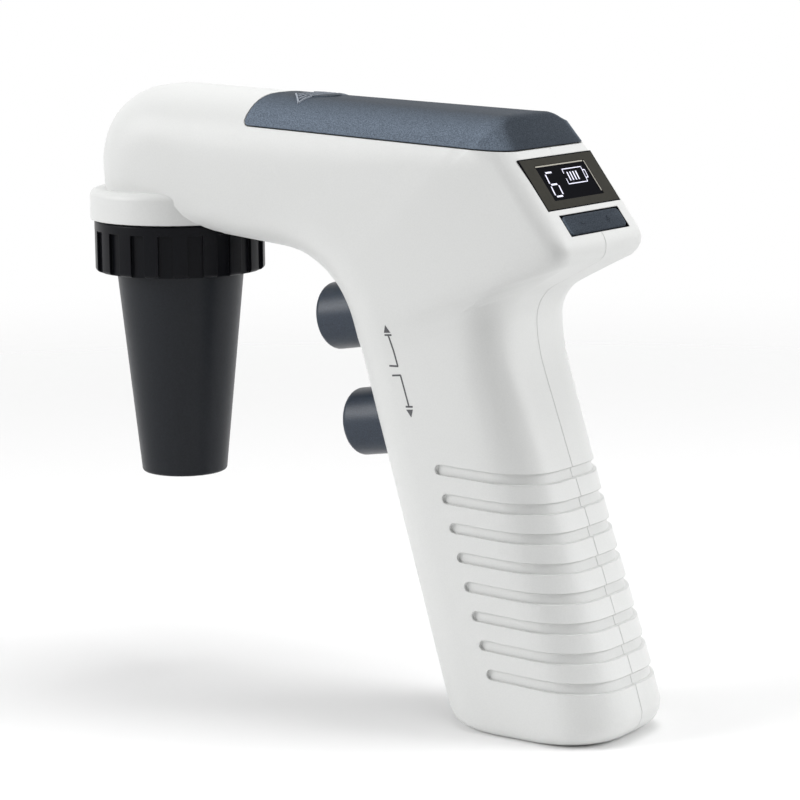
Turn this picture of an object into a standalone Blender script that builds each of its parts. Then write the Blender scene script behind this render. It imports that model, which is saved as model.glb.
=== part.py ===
"""Electronic pipette: a pistol-grip pipette controller, taken down to its pieces.

Units are metres. The sizes are written in the frame of the nose: x = 0, y = 0 is the axis
of the nosepiece, -x the front, +x the display end, -y the left shell and z = 0 a level
just above the joint face of the collar. The last frame, at the foot of the handle, puts
the whole model on the ground with its box centred on the origin.
"""

import math

import bmesh
import bpy
from mathutils import Matrix, Vector

MM = 0.001

# Housing: walls and running gaps
WALL = 2.2 * MM
GAP = 0.3 * MM

# Housing: collar, head and arm
COLLAR_RADIUS = 22.0 * MM
COLLAR_BOTTOM = -1.8 * MM
COLLAR_TOP = 5.7 * MM
COLLAR_EDGE = 1.2 * MM
HEAD_RADIUS = 18.0 * MM
HEAD_DOME = 20.0 * MM
ARM_TOP = 31.5 * MM
ARM_SLOPE = math.radians(2.36)
ARM_ROUND_FRONT = 17.0 * MM
ARM_ROUND_REAR = 14.0 * MM
ARM_REAR_HALF_WIDTH = 19.2 * MM
UNDERSIDE = -3.9 * MM
UNDERSIDE_SLOPE = math.radians(7.4)
ELBOW_RADIUS = 35.0 * MM

# Housing: display end
DISPLAY_TOP_X = 102.2 * MM
DISPLAY_SLOPE = math.radians(52.2)
DISPLAY_LENGTH = 38.3 * MM
DISPLAY_EDGE = 2.6 * MM
DISPLAY_SIDE = 4.2 * MM
POD_CORNER = 4.2 * MM
POD_UNDER_SLOPE = math.radians(28.3)

# Housing: handle
WEB_X = 105.2 * MM
WEB_RADIUS = 9.0 * MM
BACK_Z = -25.0 * MM
BACK_RADIUS = 35.0 * MM
BACK_LEAN = math.radians(19.2)
FRONT_X = 62.0 * MM
FRONT_Z = -27.9 * MM
FRONT_LEAN = math.radians(16.6)
BASE_Z = -114.1 * MM
BASE_FRONT_RADIUS = 6.5 * MM
BASE_REAR_RADIUS = 6.5 * MM
BASE_EDGE = 2.6 * MM
HANDLE_HALF_WIDTH = 18.0 * MM
HANDLE_STRAIGHT_Z = -68.0 * MM

# Grip grooves
GROOVE_COUNT = 8
GROOVE_PITCH = 6.6 * MM
GROOVE_HEIGHT = 2.4 * MM
GROOVE_DEPTH = 0.8 * MM
GROOVE_FIRST_X = 90.3 * MM
GROOVE_FIRST_Z = -53.2 * MM
GROOVE_STAGGER = 2.0 * MM
GROOVE_TILT = math.radians(2.0)

# Battery cover, which is the rear part of the arm's top
COVER_FRONT_X = 35.4 * MM
COVER_FRONT_Z = 22.8 * MM
COVER_CORNER = 1.8 * MM
COVER_RAIL_OVERLAP = 0.6 * MM
COVER_RAIL_HEIGHT = 0.8 * MM
COVER_RAIL_Z = 0.45 * MM
PAD_X = 6.5 * MM
PAD_LENGTH = 11.5 * MM
PAD_WIDTH = 12.0 * MM
PAD_HEIGHT = 0.7 * MM

# Display window, module, boards and speed rocker, along the display slope from its top
WINDOW_START = 12.4 * MM
WINDOW_LENGTH = 13.0 * MM
WINDOW_HALF_WIDTH = 15.0 * MM
WINDOW_THICKNESS = 1.2 * MM
WINDOW_LEDGE = 1.6 * MM
LCD_DEPTH = 5.0 * MM
BOARD_THICKNESS = 1.2 * MM
ROCKER_START = 27.6 * MM
ROCKER_LENGTH = 5.7 * MM
ROCKER_HALF_WIDTH = 12.4 * MM
ROCKER_PROUD = 0.8 * MM
ROCKER_THICKNESS = 3.0 * MM
ROCKER_EDGE = 0.7 * MM
ROCKER_PIN_DEPTH = 4.2 * MM
ROCKER_PIN_RADIUS = 0.8 * MM
ROCKER_RIB = 1.8 * MM
ROCKER_SIDE_GAP = 0.4 * MM
LUG_THICKNESS = 1.5 * MM
BOARD_CLEARANCE = 1.4 * MM
SWITCH_SPACING = 8.5 * MM
SWITCH_SIZE = 4.5 * MM
SWITCH_PLUNGER = 0.6 * MM
SWITCH_PLUNGER_RADIUS = 1.0 * MM
SWITCH_FREE = 0.6 * MM

# Triggers, from the centre of each front face along the press direction
TRIGGER_RADIUS = 8.1 * MM
TRIGGER_X = 47.6 * MM
TRIGGER_Z = -23.1 * MM
TRIGGER_SPACING = 25.9 * MM
TRIGGER_SETBACK = 3.5 * MM
TRIGGER_TILT = math.radians(9.0)
TRIGGER_LENGTH = 18.0 * MM
TRIGGER_FLANGE = 1.3 * MM
TRIGGER_FLANGE_THICKNESS = 2.0 * MM
TRIGGER_EDGE = 1.0 * MM
TRIGGER_TRAVEL = 5.0 * MM
TRIGGER_FACE = 5.0 * MM
SPRING_RADIUS = 4.0 * MM
SPRING_WIRE = 0.45 * MM
SPRING_TURNS = 5
STEM_RADIUS = 1.6 * MM
STEM_LENGTH = 29.0 * MM
BLOCK_START = 28.0 * MM
BLOCK_LENGTH = 17.0 * MM
BLOCK_HALF_WIDTH = 10.5 * MM
BLOCK_MARGIN = 8.0 * MM
BLOCK_PORT_DEPTH = 2.7 * MM
SEAL_RADIUS = 3.4 * MM
SEAL_THICKNESS = 1.4 * MM
KEY_SWITCH_SIZE = 6.0 * MM
KEY_SWITCH_WIDTH = 4.5 * MM
KEY_SWITCH_DEPTH = 4.0 * MM

# Nosepiece: the fluted ring and the cone below it are one moulding
RING_RADIUS = 21.1 * MM
RING_HEIGHT = 12.7 * MM
RING_BAND = 2.4 * MM
RING_BORE = 14.2 * MM
FLUTE_COUNT = 18
FLUTE_WIDTH = 3.7 * MM
FLUTE_DEPTH = 1.0 * MM
CONE_TOP_RADIUS = 15.8 * MM
CONE_TIP_RADIUS = 10.6 * MM
CONE_LENGTH = 50.9 * MM
CONE_WALL = 2.3 * MM
RING_EDGE = 1.0 * MM
TIP_EDGE = 0.8 * MM

# Spigot, seal ring, adapter and filter inside the nosepiece
SPIGOT_RADIUS = 13.2 * MM
SPIGOT_WALL = 2.6 * MM
SPIGOT_LENGTH = 14.9 * MM
SPIGOT_FLANGE = 14.8 * MM
SPIGOT_FLANGE_THICKNESS = 2.5 * MM
RING_SEAL_WIRE = 0.75 * MM
ADAPTER_BORE_TOP = 3.2 * MM
ADAPTER_BORE_TIP = 5.5 * MM
ADAPTER_CHAMBER = 6.5 * MM
FILTER_RADIUS = 10.0 * MM
FILTER_THICKNESS = 3.2 * MM
FILTER_NIPPLE = 5.0 * MM
ADAPTER_MOUTH = 24.0 * MM
ADAPTER_RECESS = 1.2 * MM

# Air tubing
TUBE_RADIUS = 2.5 * MM
TUBE_WALL = 0.9 * MM
NIPPLE_RADIUS = 1.3 * MM
NIPPLE_LENGTH = 4.5 * MM
PORT_BORE = 0.6 * MM
NOSE_TUBE_ROUTE = (
    (3.5 * MM, 15.5 * MM),
    (12.0 * MM, 16.5 * MM),
    (21.0 * MM, 12.0 * MM),
    (29.5 * MM, 6.6 * MM),
    (38.0 * MM, 2.2 * MM),
    (47.0 * MM, -0.4 * MM),
    (60.0 * MM, -1.5 * MM),
    (74.0 * MM, -0.8 * MM),
    (82.5 * MM, 0.2 * MM),
)

# Pump and motor, up the handle from the motor's lower end
MOTOR_X = 108.8 * MM
MOTOR_Z = -98.6 * MM
PUMP_LEAN = math.radians(17.5)
MOTOR_RADIUS = 12.0 * MM
MOTOR_LENGTH = 20.0 * MM
CUSHION_CLEARANCE = 0.4 * MM
CUSHION_LENGTH = 8.0 * MM
BRACKET_LENGTH = 9.0 * MM
BRACKET_WALL = 2.0 * MM
PUMP_WIDTH = 22.0 * MM
PUMP_HEAD_LENGTH = 7.5 * MM
PORT_SPACING = 5.0 * MM
ECCENTRIC_RADIUS = 4.0 * MM
ECCENTRIC_THROW = 1.0 * MM
SHAFT_RADIUS = 1.0 * MM
PUMP_EDGE = 0.8 * MM

# Battery, its tray and the control board, along the arm from the cover's front edge
TRAY_START = 5.0 * MM
TRAY_LENGTH = 58.0 * MM
TRAY_WALL = 1.0 * MM
TRAY_RAIL = 0.9 * MM
TRAY_RAIL_START = 42.0 * MM
TRAY_RAIL_THICKNESS = 0.8 * MM
TRAY_FLOOR_DEPTH = 14.5 * MM
TRAY_FLOOR_HALF_WIDTH = 15.4 * MM
BATTERY_LENGTH = 50.0 * MM
BATTERY_HALF_WIDTH = 9.5 * MM
BATTERY_HEIGHT = 12.0 * MM
BATTERY_MARGIN = 3.0 * MM
BATTERY_EDGE = 1.5 * MM
CONNECTOR_LENGTH = 4.0 * MM
CONTROL_BOARD_START = 8.0 * MM
CONTROL_BOARD_LENGTH = 42.0 * MM
CONTROL_BOARD_HALF_WIDTH = 13.0 * MM
FOOT_RADIUS = 1.5 * MM
FOOT_LENGTH = 1.8 * MM

# Screws and bosses that join the two shells
SCREW_PLACES = (
    (34.3 * MM, 12.7 * MM),
    (97.0 * MM, 1.4 * MM),
    (84.0 * MM, -60.0 * MM),
    (121.0 * MM, -105.0 * MM),
)
BOSS_DEPTH = 1.3 * MM
BOSS_RADIUS = 4.0 * MM
SCREW_RADIUS = 1.1 * MM
SCREW_HEAD_RADIUS = 2.3 * MM
SCREW_HEAD_HEIGHT = 1.8 * MM
SCREW_HEAD_SEAT = 11.0 * MM
SCREW_LENGTH = 20.0 * MM

# Charging socket in the foot of the handle
SOCKET_X = 99.0 * MM
SOCKET_RADIUS = 4.0 * MM
SOCKET_BORE = 2.8 * MM
SOCKET_LENGTH = 9.5 * MM
SOCKET_FLANGE = 1.2 * MM
SOCKET_PIN = 0.8 * MM

# Places that follow from the sizes above
BOSS_REACHES = (
    HEAD_RADIUS - BOSS_DEPTH,
    ARM_REAR_HALF_WIDTH - BOSS_DEPTH,
    HANDLE_HALF_WIDTH - BOSS_DEPTH,
    HANDLE_HALF_WIDTH - BOSS_DEPTH,
)
DISPLAY_BOARD_HALF_WIDTH = ARM_REAR_HALF_WIDTH - WALL - BOARD_CLEARANCE
CUSHION_RADIUS = HANDLE_HALF_WIDTH - WALL - CUSHION_CLEARANCE
BATTERY_ROOM = BATTERY_HALF_WIDTH + GAP
TRAY_RAIL_HALF_WIDTH = BATTERY_ROOM + TRAY_WALL + TRAY_RAIL
TRAY_RAIL_Z = COVER_RAIL_Z + COVER_RAIL_HEIGHT + GAP
TRAY_END = TRAY_START + TRAY_LENGTH
LUG_STARTS = (ROCKER_START - GAP - LUG_THICKNESS, ROCKER_START + ROCKER_LENGTH + GAP)
RING_TOP = COLLAR_BOTTOM - GAP
RING_BOTTOM = RING_TOP - RING_HEIGHT
TIP_Z = RING_BOTTOM - CONE_LENGTH
SPIGOT_SEAT = COLLAR_BOTTOM + WALL + GAP
SPIGOT_TOP = SPIGOT_SEAT + SPIGOT_FLANGE_THICKNESS
SPIGOT_END = SPIGOT_SEAT - SPIGOT_LENGTH
BLOCK_END = BLOCK_START + BLOCK_LENGTH
BLOCK_PORT = BLOCK_END - BLOCK_PORT_DEPTH
BLOCK_PINS = tuple(
    (x, 0.0, BLOCK_START + BLOCK_LENGTH / 2.0)
    for x in (TRIGGER_SPACING * 0.25, TRIGGER_SPACING * 0.75)
)
BRACKET_START = MOTOR_LENGTH + GAP
PUMP_HEAD_START = BRACKET_START + BRACKET_LENGTH + GAP
PUMP_HEAD_END = PUMP_HEAD_START + PUMP_HEAD_LENGTH

# Facets
ROUND = 36
INNER_ROUND = 24
SMALL_ROUND = 16
ARC_STEPS = 12
FLAT_ANGLE = math.radians(0.9)
SPAN_SHARE = 0.8
SPAN_STEPS = 20

COLOURS = {
    "shell": ((0.80, 0.81, 0.80, 1.0), 0.45, 0.0),
    "slate": ((0.09, 0.11, 0.15, 1.0), 0.50, 0.0),
    "nose": ((0.02, 0.023, 0.03, 1.0), 0.42, 0.0),
    "glass": ((0.02, 0.02, 0.018, 1.0), 0.08, 0.0),
    "silicone": ((0.12, 0.12, 0.13, 1.0), 0.60, 0.0),
    "filter": ((0.85, 0.86, 0.84, 1.0), 0.50, 0.0),
    "board": ((0.02, 0.20, 0.08, 1.0), 0.50, 0.0),
    "plastic": ((0.05, 0.05, 0.05, 1.0), 0.50, 0.0),
    "cell": ((0.05, 0.16, 0.42, 1.0), 0.35, 0.0),
    "steel": ((0.62, 0.63, 0.65, 1.0), 0.30, 1.0),
    "brass": ((0.72, 0.55, 0.25, 1.0), 0.35, 1.0),
    "tubing": ((0.78, 0.80, 0.80, 1.0), 0.35, 0.0),
}


# Scene, collections, frames and materials


def clear_scene():
    for item in list(bpy.data.objects):
        bpy.data.objects.remove(item, do_unlink=True)


def add_collection(name):
    group = bpy.data.collections.new(name)
    bpy.context.scene.collection.children.link(group)
    return group


def add_frame(name, location, tilt, parent):
    """An empty whose local z is world z turned by tilt about y."""
    empty = bpy.data.objects.new(name, None)
    empty.location = location
    empty.rotation_euler = (0.0, tilt, 0.0)
    empty.parent = parent
    PARTS.objects.link(empty)
    return empty


def add_material(name):
    colour, roughness, metallic = COLOURS[name]
    material = bpy.data.materials.new(name)
    material.use_nodes = True
    shader = material.node_tree.nodes["Principled BSDF"]
    shader.inputs["Base Color"].default_value = colour
    shader.inputs["Roughness"].default_value = roughness
    shader.inputs["Metallic"].default_value = metallic
    return material


def add_part(name, mesh, parent, colour, location=(0.0, 0.0, 0.0), tilt=0.0):
    part = bpy.data.objects.new(name, mesh)
    part.location = location
    part.rotation_euler = (0.0, tilt, 0.0)
    part.parent = parent
    mesh.materials.clear()
    mesh.materials.append(add_material(colour))
    mesh.materials[0].name = name + "_" + colour
    PARTS.objects.link(part)
    return part


def add_cutter(name, mesh, parent, location=(0.0, 0.0, 0.0), tilt=0.0):
    cutter = bpy.data.objects.new("cut_" + name, mesh)
    cutter.location = location
    cutter.rotation_euler = (0.0, tilt, 0.0)
    cutter.parent = parent
    cutter.hide_render = True
    cutter.display_type = "WIRE"
    CUTTERS.objects.link(cutter)
    return cutter


def combine(part, cutter, operation="DIFFERENCE"):
    step = part.modifiers.new(operation.lower() + "_" + cutter.name, "BOOLEAN")
    step.operation = operation
    step.solver = "EXACT"
    step.object = cutter
    return part


def join_flat_facets(part):
    flat = part.modifiers.new("flat_facets", "DECIMATE")
    flat.decimate_type = "DISSOLVE"
    flat.angle_limit = FLAT_ANGLE
    return part


def add_bevel(part, width, segments=2, angle=math.radians(40.0)):
    bevel = part.modifiers.new("edges", "BEVEL")
    bevel.width = width
    bevel.segments = segments
    bevel.limit_method = "ANGLE"
    bevel.angle_limit = angle
    return part


def evaluated_mesh(item, name):
    """The mesh that the item's modifiers make, in the item's own frame."""
    bpy.context.view_layer.update()
    graph = bpy.context.evaluated_depsgraph_get()
    mesh = bpy.data.meshes.new_from_object(item.evaluated_get(graph))
    mesh.name = name
    return mesh


# Mesh makers


def finish_mesh(name, shape, smooth=False):
    bmesh.ops.recalc_face_normals(shape, faces=shape.faces)
    mesh = bpy.data.meshes.new(name)
    shape.to_mesh(mesh)
    shape.free()
    if smooth:
        mesh.shade_smooth()
        mesh.set_sharp_from_angle(angle=math.radians(30.0))
    return mesh


def box_mesh(name, low, high):
    """A box between two corners."""
    shape = bmesh.new()
    bmesh.ops.create_cube(shape, size=1.0)
    centre = (Vector(low) + Vector(high)) / 2.0
    size = Vector(high) - Vector(low)
    bmesh.ops.scale(shape, vec=size, verts=shape.verts)
    bmesh.ops.translate(shape, vec=centre, verts=shape.verts)
    return finish_mesh(name, shape)


def rod_mesh(name, radius, start, end, sides=ROUND, tip_radius=None):
    """A cylinder or cone along local z from start to end."""
    shape = bmesh.new()
    bmesh.ops.create_cone(
        shape,
        cap_ends=True,
        segments=sides,
        radius1=radius,
        radius2=radius if tip_radius is None else tip_radius,
        depth=end - start,
    )
    bmesh.ops.translate(shape, vec=(0.0, 0.0, (start + end) / 2.0), verts=shape.verts)
    return finish_mesh(name, shape, smooth=True)


def turned_mesh(name, profile, sides=ROUND):
    """A profile of (radius, z) points, closed on itself or ending on the axis, turned about z.

    The points run down the outer side and back up the inner side.
    """
    mesh = bpy.data.meshes.new(name + "_profile")
    points = [(radius, 0.0, z) for radius, z in profile]
    edges = [(i, i + 1) for i in range(len(points) - 1)]
    on_axis = profile[0][0] == 0.0 and profile[-1][0] == 0.0
    if not on_axis:
        edges.append((len(points) - 1, 0))
    mesh.from_pydata(points, edges, [])
    holder = bpy.data.objects.new(name + "_profile", mesh)
    bpy.context.scene.collection.objects.link(holder)
    screw = holder.modifiers.new("turn", "SCREW")
    screw.axis = "Z"
    screw.angle = 2.0 * math.pi
    screw.steps = sides
    screw.render_steps = sides
    screw.use_merge_vertices = True
    screw.merge_threshold = 0.00001
    screw.use_smooth_shade = True
    mesh = evaluated_mesh(holder, name)
    bpy.data.objects.remove(holder, do_unlink=True)
    shape = bmesh.new()
    shape.from_mesh(mesh)
    return finish_mesh(name, shape, smooth=True)


def swept_mesh(name, points, radius, wall=0.0, resolution=2):
    """A round wire through the points, or a hose with that wall when wall isn't zero."""
    curve = bpy.data.curves.new(name + "_route", "CURVE")
    curve.dimensions = "3D"
    spline = curve.splines.new("POLY")
    spline.points.add(len(points) - 1)
    for knot, place in zip(spline.points, points):
        knot.co = (place[0], place[1], place[2], 1.0)
    curve.bevel_depth = radius
    curve.bevel_resolution = resolution
    curve.use_fill_caps = wall == 0.0
    holder = bpy.data.objects.new(name + "_route", curve)
    bpy.context.scene.collection.objects.link(holder)
    mesh = evaluated_mesh(holder, name)
    bpy.data.objects.remove(holder, do_unlink=True)
    shape = bmesh.new()
    shape.from_mesh(mesh)
    bmesh.ops.remove_doubles(shape, verts=shape.verts, dist=0.00001)
    if wall:
        bmesh.ops.recalc_face_normals(shape, faces=shape.faces)
        bmesh.ops.solidify(shape, geom=shape.faces[:], thickness=wall)
    return finish_mesh(name, shape, smooth=True)


def hose_route(knots, count):
    """Points along a smooth curve through the knots, straight in its first and last run."""
    inner = knots[1:-1]
    ends = [inner[0]] + list(inner) + [inner[-1]]
    route = [knots[0]]
    for i in range(count + 1):
        along = i / count * (len(inner) - 1)
        k = min(int(along), len(inner) - 2)
        t = along - k
        a, b, c, d = (Vector(ends[k + j]) for j in range(4))
        route.append(
            0.5 * (2.0 * b + (c - a) * t + (2.0 * a - 5.0 * b + 4.0 * c - d) * t * t
                   + (3.0 * b - a - 3.0 * c + d) * t ** 3)
        )
    route.append(knots[-1])
    return route


# The housing's outline in the plane of symmetry, as lines with rounded corners


def lines_meet(point, direction, other, other_direction):
    """Where two lines in the plane of symmetry cross."""
    px, pz = point
    dx, dz = direction
    qx, qz = other
    ex, ez = other_direction
    along = ((qx - px) * ez - (qz - pz) * ex) / (dx * ez - dz * ex)
    return (px + along * dx, pz + along * dz)


class Outline:
    """Lines through corners (x, z, radius). Station i is the middle of corner i."""

    def __init__(self, corners, inward):
        self.points = []
        marks = []
        for i, (x, z, radius) in enumerate(corners):
            corner = Vector((x, z))
            if radius == 0.0:
                marks.append(len(self.points))
                self.points.append(corner)
                continue
            before = (corner - Vector(corners[i - 1][:2])).normalized()
            after = (Vector(corners[i + 1][:2]) - corner).normalized()
            turn = before.angle_signed(after)
            reach = radius * math.tan(abs(turn) / 2.0)
            start = corner - before * reach
            side = math.copysign(1.0, turn)
            centre = start + radius * side * Vector((before.y, -before.x))
            marks.append(len(self.points) + ARC_STEPS // 2)
            for k in range(ARC_STEPS + 1):
                angle = -turn * k / ARC_STEPS
                spoke = start - centre
                self.points.append(centre + Vector((
                    spoke.x * math.cos(angle) - spoke.y * math.sin(angle),
                    spoke.x * math.sin(angle) + spoke.y * math.cos(angle),
                )))
        self.lengths = [0.0]
        for a, b in zip(self.points, self.points[1:]):
            self.lengths.append(self.lengths[-1] + (b - a).length)
        self.marks = [self.lengths[k] for k in marks]
        self.normals = []
        for k in range(len(self.points)):
            ahead = self.points[min(k + 1, len(self.points) - 1)]
            behind = self.points[max(k - 1, 0)]
            run = (ahead - behind).normalized()
            self.normals.append(inward * Vector((run.y, -run.x)))

    def at(self, station, inset):
        """The outline's point at a station, moved inwards."""
        i = min(int(station), len(self.marks) - 2)
        length = self.marks[i] + (station - i) * (self.marks[i + 1] - self.marks[i])
        k = 0
        while k < len(self.lengths) - 2 and self.lengths[k + 1] < length:
            k += 1
        t = (length - self.lengths[k]) / (self.lengths[k + 1] - self.lengths[k])
        point = self.points[k].lerp(self.points[k + 1], t)
        return point + inset * self.normals[k].lerp(self.normals[k + 1], t).normalized()

    def at_height(self, z, inset):
        """The lowest crossing of a level by the outline moved inwards."""
        moved = [p + inset * n for p, n in zip(self.points, self.normals)]
        for a, b in reversed(list(zip(moved, moved[1:]))):
            if min(a.y, b.y) <= z <= max(a.y, b.y) and a.y != b.y:
                return a.lerp(b, (z - a.y) / (b.y - a.y))
        return moved[-1]


def top_line(x):
    """Height of the arm's top."""
    return ARM_TOP - x * math.tan(ARM_SLOPE)


def upper_outline():
    """Front of the head, dome, top, display slope, web, back of the handle and foot."""
    display_top = (DISPLAY_TOP_X, top_line(DISPLAY_TOP_X))
    display_end = (
        DISPLAY_TOP_X + DISPLAY_LENGTH * math.cos(DISPLAY_SLOPE),
        display_top[1] - DISPLAY_LENGTH * math.sin(DISPLAY_SLOPE),
    )
    web_z = display_end[1] - (display_end[0] - WEB_X) * math.tan(POD_UNDER_SLOPE)
    foot_x = WEB_X + (BACK_Z - BASE_Z) * math.tan(BACK_LEAN)
    return [
        (-HEAD_RADIUS, COLLAR_BOTTOM, 0.0),
        (-HEAD_RADIUS, top_line(-HEAD_RADIUS), HEAD_DOME),
        (*display_top, DISPLAY_EDGE),
        (*display_end, POD_CORNER),
        (WEB_X, web_z, WEB_RADIUS),
        (WEB_X, BACK_Z, BACK_RADIUS),
        (foot_x, BASE_Z, BASE_REAR_RADIUS),
        (foot_x / 2.0 + front_foot_x() / 2.0, BASE_Z, 0.0),
    ]


def front_foot_x():
    return FRONT_X + (FRONT_Z - BASE_Z) * math.tan(FRONT_LEAN)


def lower_outline():
    """Behind the nose, underside of the arm, elbow, front of the handle and foot."""
    elbow = lines_meet(
        (HEAD_RADIUS, UNDERSIDE),
        (math.cos(UNDERSIDE_SLOPE), -math.sin(UNDERSIDE_SLOPE)),
        (FRONT_X, FRONT_Z),
        (math.sin(FRONT_LEAN), -math.cos(FRONT_LEAN)),
    )
    return [
        (HEAD_RADIUS, COLLAR_BOTTOM, 0.0),
        (HEAD_RADIUS, UNDERSIDE, 0.0),
        (*elbow, ELBOW_RADIUS),
        (front_foot_x(), BASE_Z, BASE_FRONT_RADIUS),
        (upper_outline()[-1][0], BASE_Z, 0.0),
    ]


# Key sections of the housing. Each lies in a plane across the symmetry plane, from a
# station of the lower outline to one of the upper outline: half width, reach and power of
# the lower rounding, reach and power of the upper rounding, and steps to the next key.
HEAD_KEYS = (
    (0.30, 0.00, HEAD_RADIUS, HEAD_RADIUS, 2.0, HEAD_RADIUS, 2.0, 1),
    (1.00, 0.42, HEAD_RADIUS, HEAD_RADIUS, 2.0, HEAD_RADIUS, 2.0, 8),
    (1.12, 1.27, HEAD_RADIUS, 12.5 * MM, 2.2, ARM_ROUND_FRONT, 2.1, 0),
)
BODY_KEYS = (
    (1.12, 1.27, HEAD_RADIUS, 12.5 * MM, 2.2, 0.0, 2.0, 3),
    (1.72, 1.60, 18.4 * MM, 12.5 * MM, 2.2, 0.0, 2.0, 3),
    (2.04, 1.97, ARM_REAR_HALF_WIDTH, 10.5 * MM, 2.2, 0.0, 2.0, 3),
    (2.08, 2.07, ARM_REAR_HALF_WIDTH, 10.0 * MM, 2.2, DISPLAY_SIDE, 2.0, 2),
    (2.13, 2.84, ARM_REAR_HALF_WIDTH, 9.5 * MM, 2.2, DISPLAY_SIDE, 2.0, 4),
    (2.16, 3.30, 18.8 * MM, 9.0 * MM, 2.2, 6.5 * MM, 2.0, 3),
    (2.19, 3.80, 18.4 * MM, 9.0 * MM, 2.2, 8.5 * MM, 2.1, 3),
    (2.22, 4.20, HANDLE_HALF_WIDTH, 9.0 * MM, 2.2, 10.0 * MM, 2.2, 2),
    (2.34, 4.95, HANDLE_HALF_WIDTH, 9.0 * MM, 2.3, 10.0 * MM, 2.3, 3),
)
HANDLE_KEY = (HANDLE_HALF_WIDTH, 9.0 * MM, 2.3, 10.4 * MM, 2.5)
REAR_STATIONS = (2, 6)
LOWER_STEPS = (0.0, 0.05, 0.20, 0.50, 1.0)
UPPER_STEPS = (0.0, 0.025, 0.08, 0.18, 0.33, 0.56, 0.94)
CORE_LOWER_STEPS = (0.0, 0.12, 0.45, 1.0)
CORE_UPPER_STEPS = (0.0, 0.05, 0.17, 0.42, 0.94)


def corner_drop(depth, reach, power):
    """How far a rounding pulls the side in at a depth from its end."""
    if depth >= reach:
        return 0.0
    ratio = 1.0 - max(depth, 0.0) / reach
    return reach * (1.0 - (1.0 - ratio ** power) ** (1.0 / power))


def blend_keys(a, b, t):
    return [p + (q - p) * t for p, q in zip(a, b)]


def even_widths(rings, start, end):
    """Evens out the half widths from section to section, so that no key shows."""
    widths = [[point.y for point in ring] for ring in rings]
    for k in range(start + 1, end - 1):
        for i, point in enumerate(rings[k]):
            point.y = (widths[k - 1][i] + 2.0 * widths[k][i] + widths[k + 1][i]) / 4.0


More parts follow.
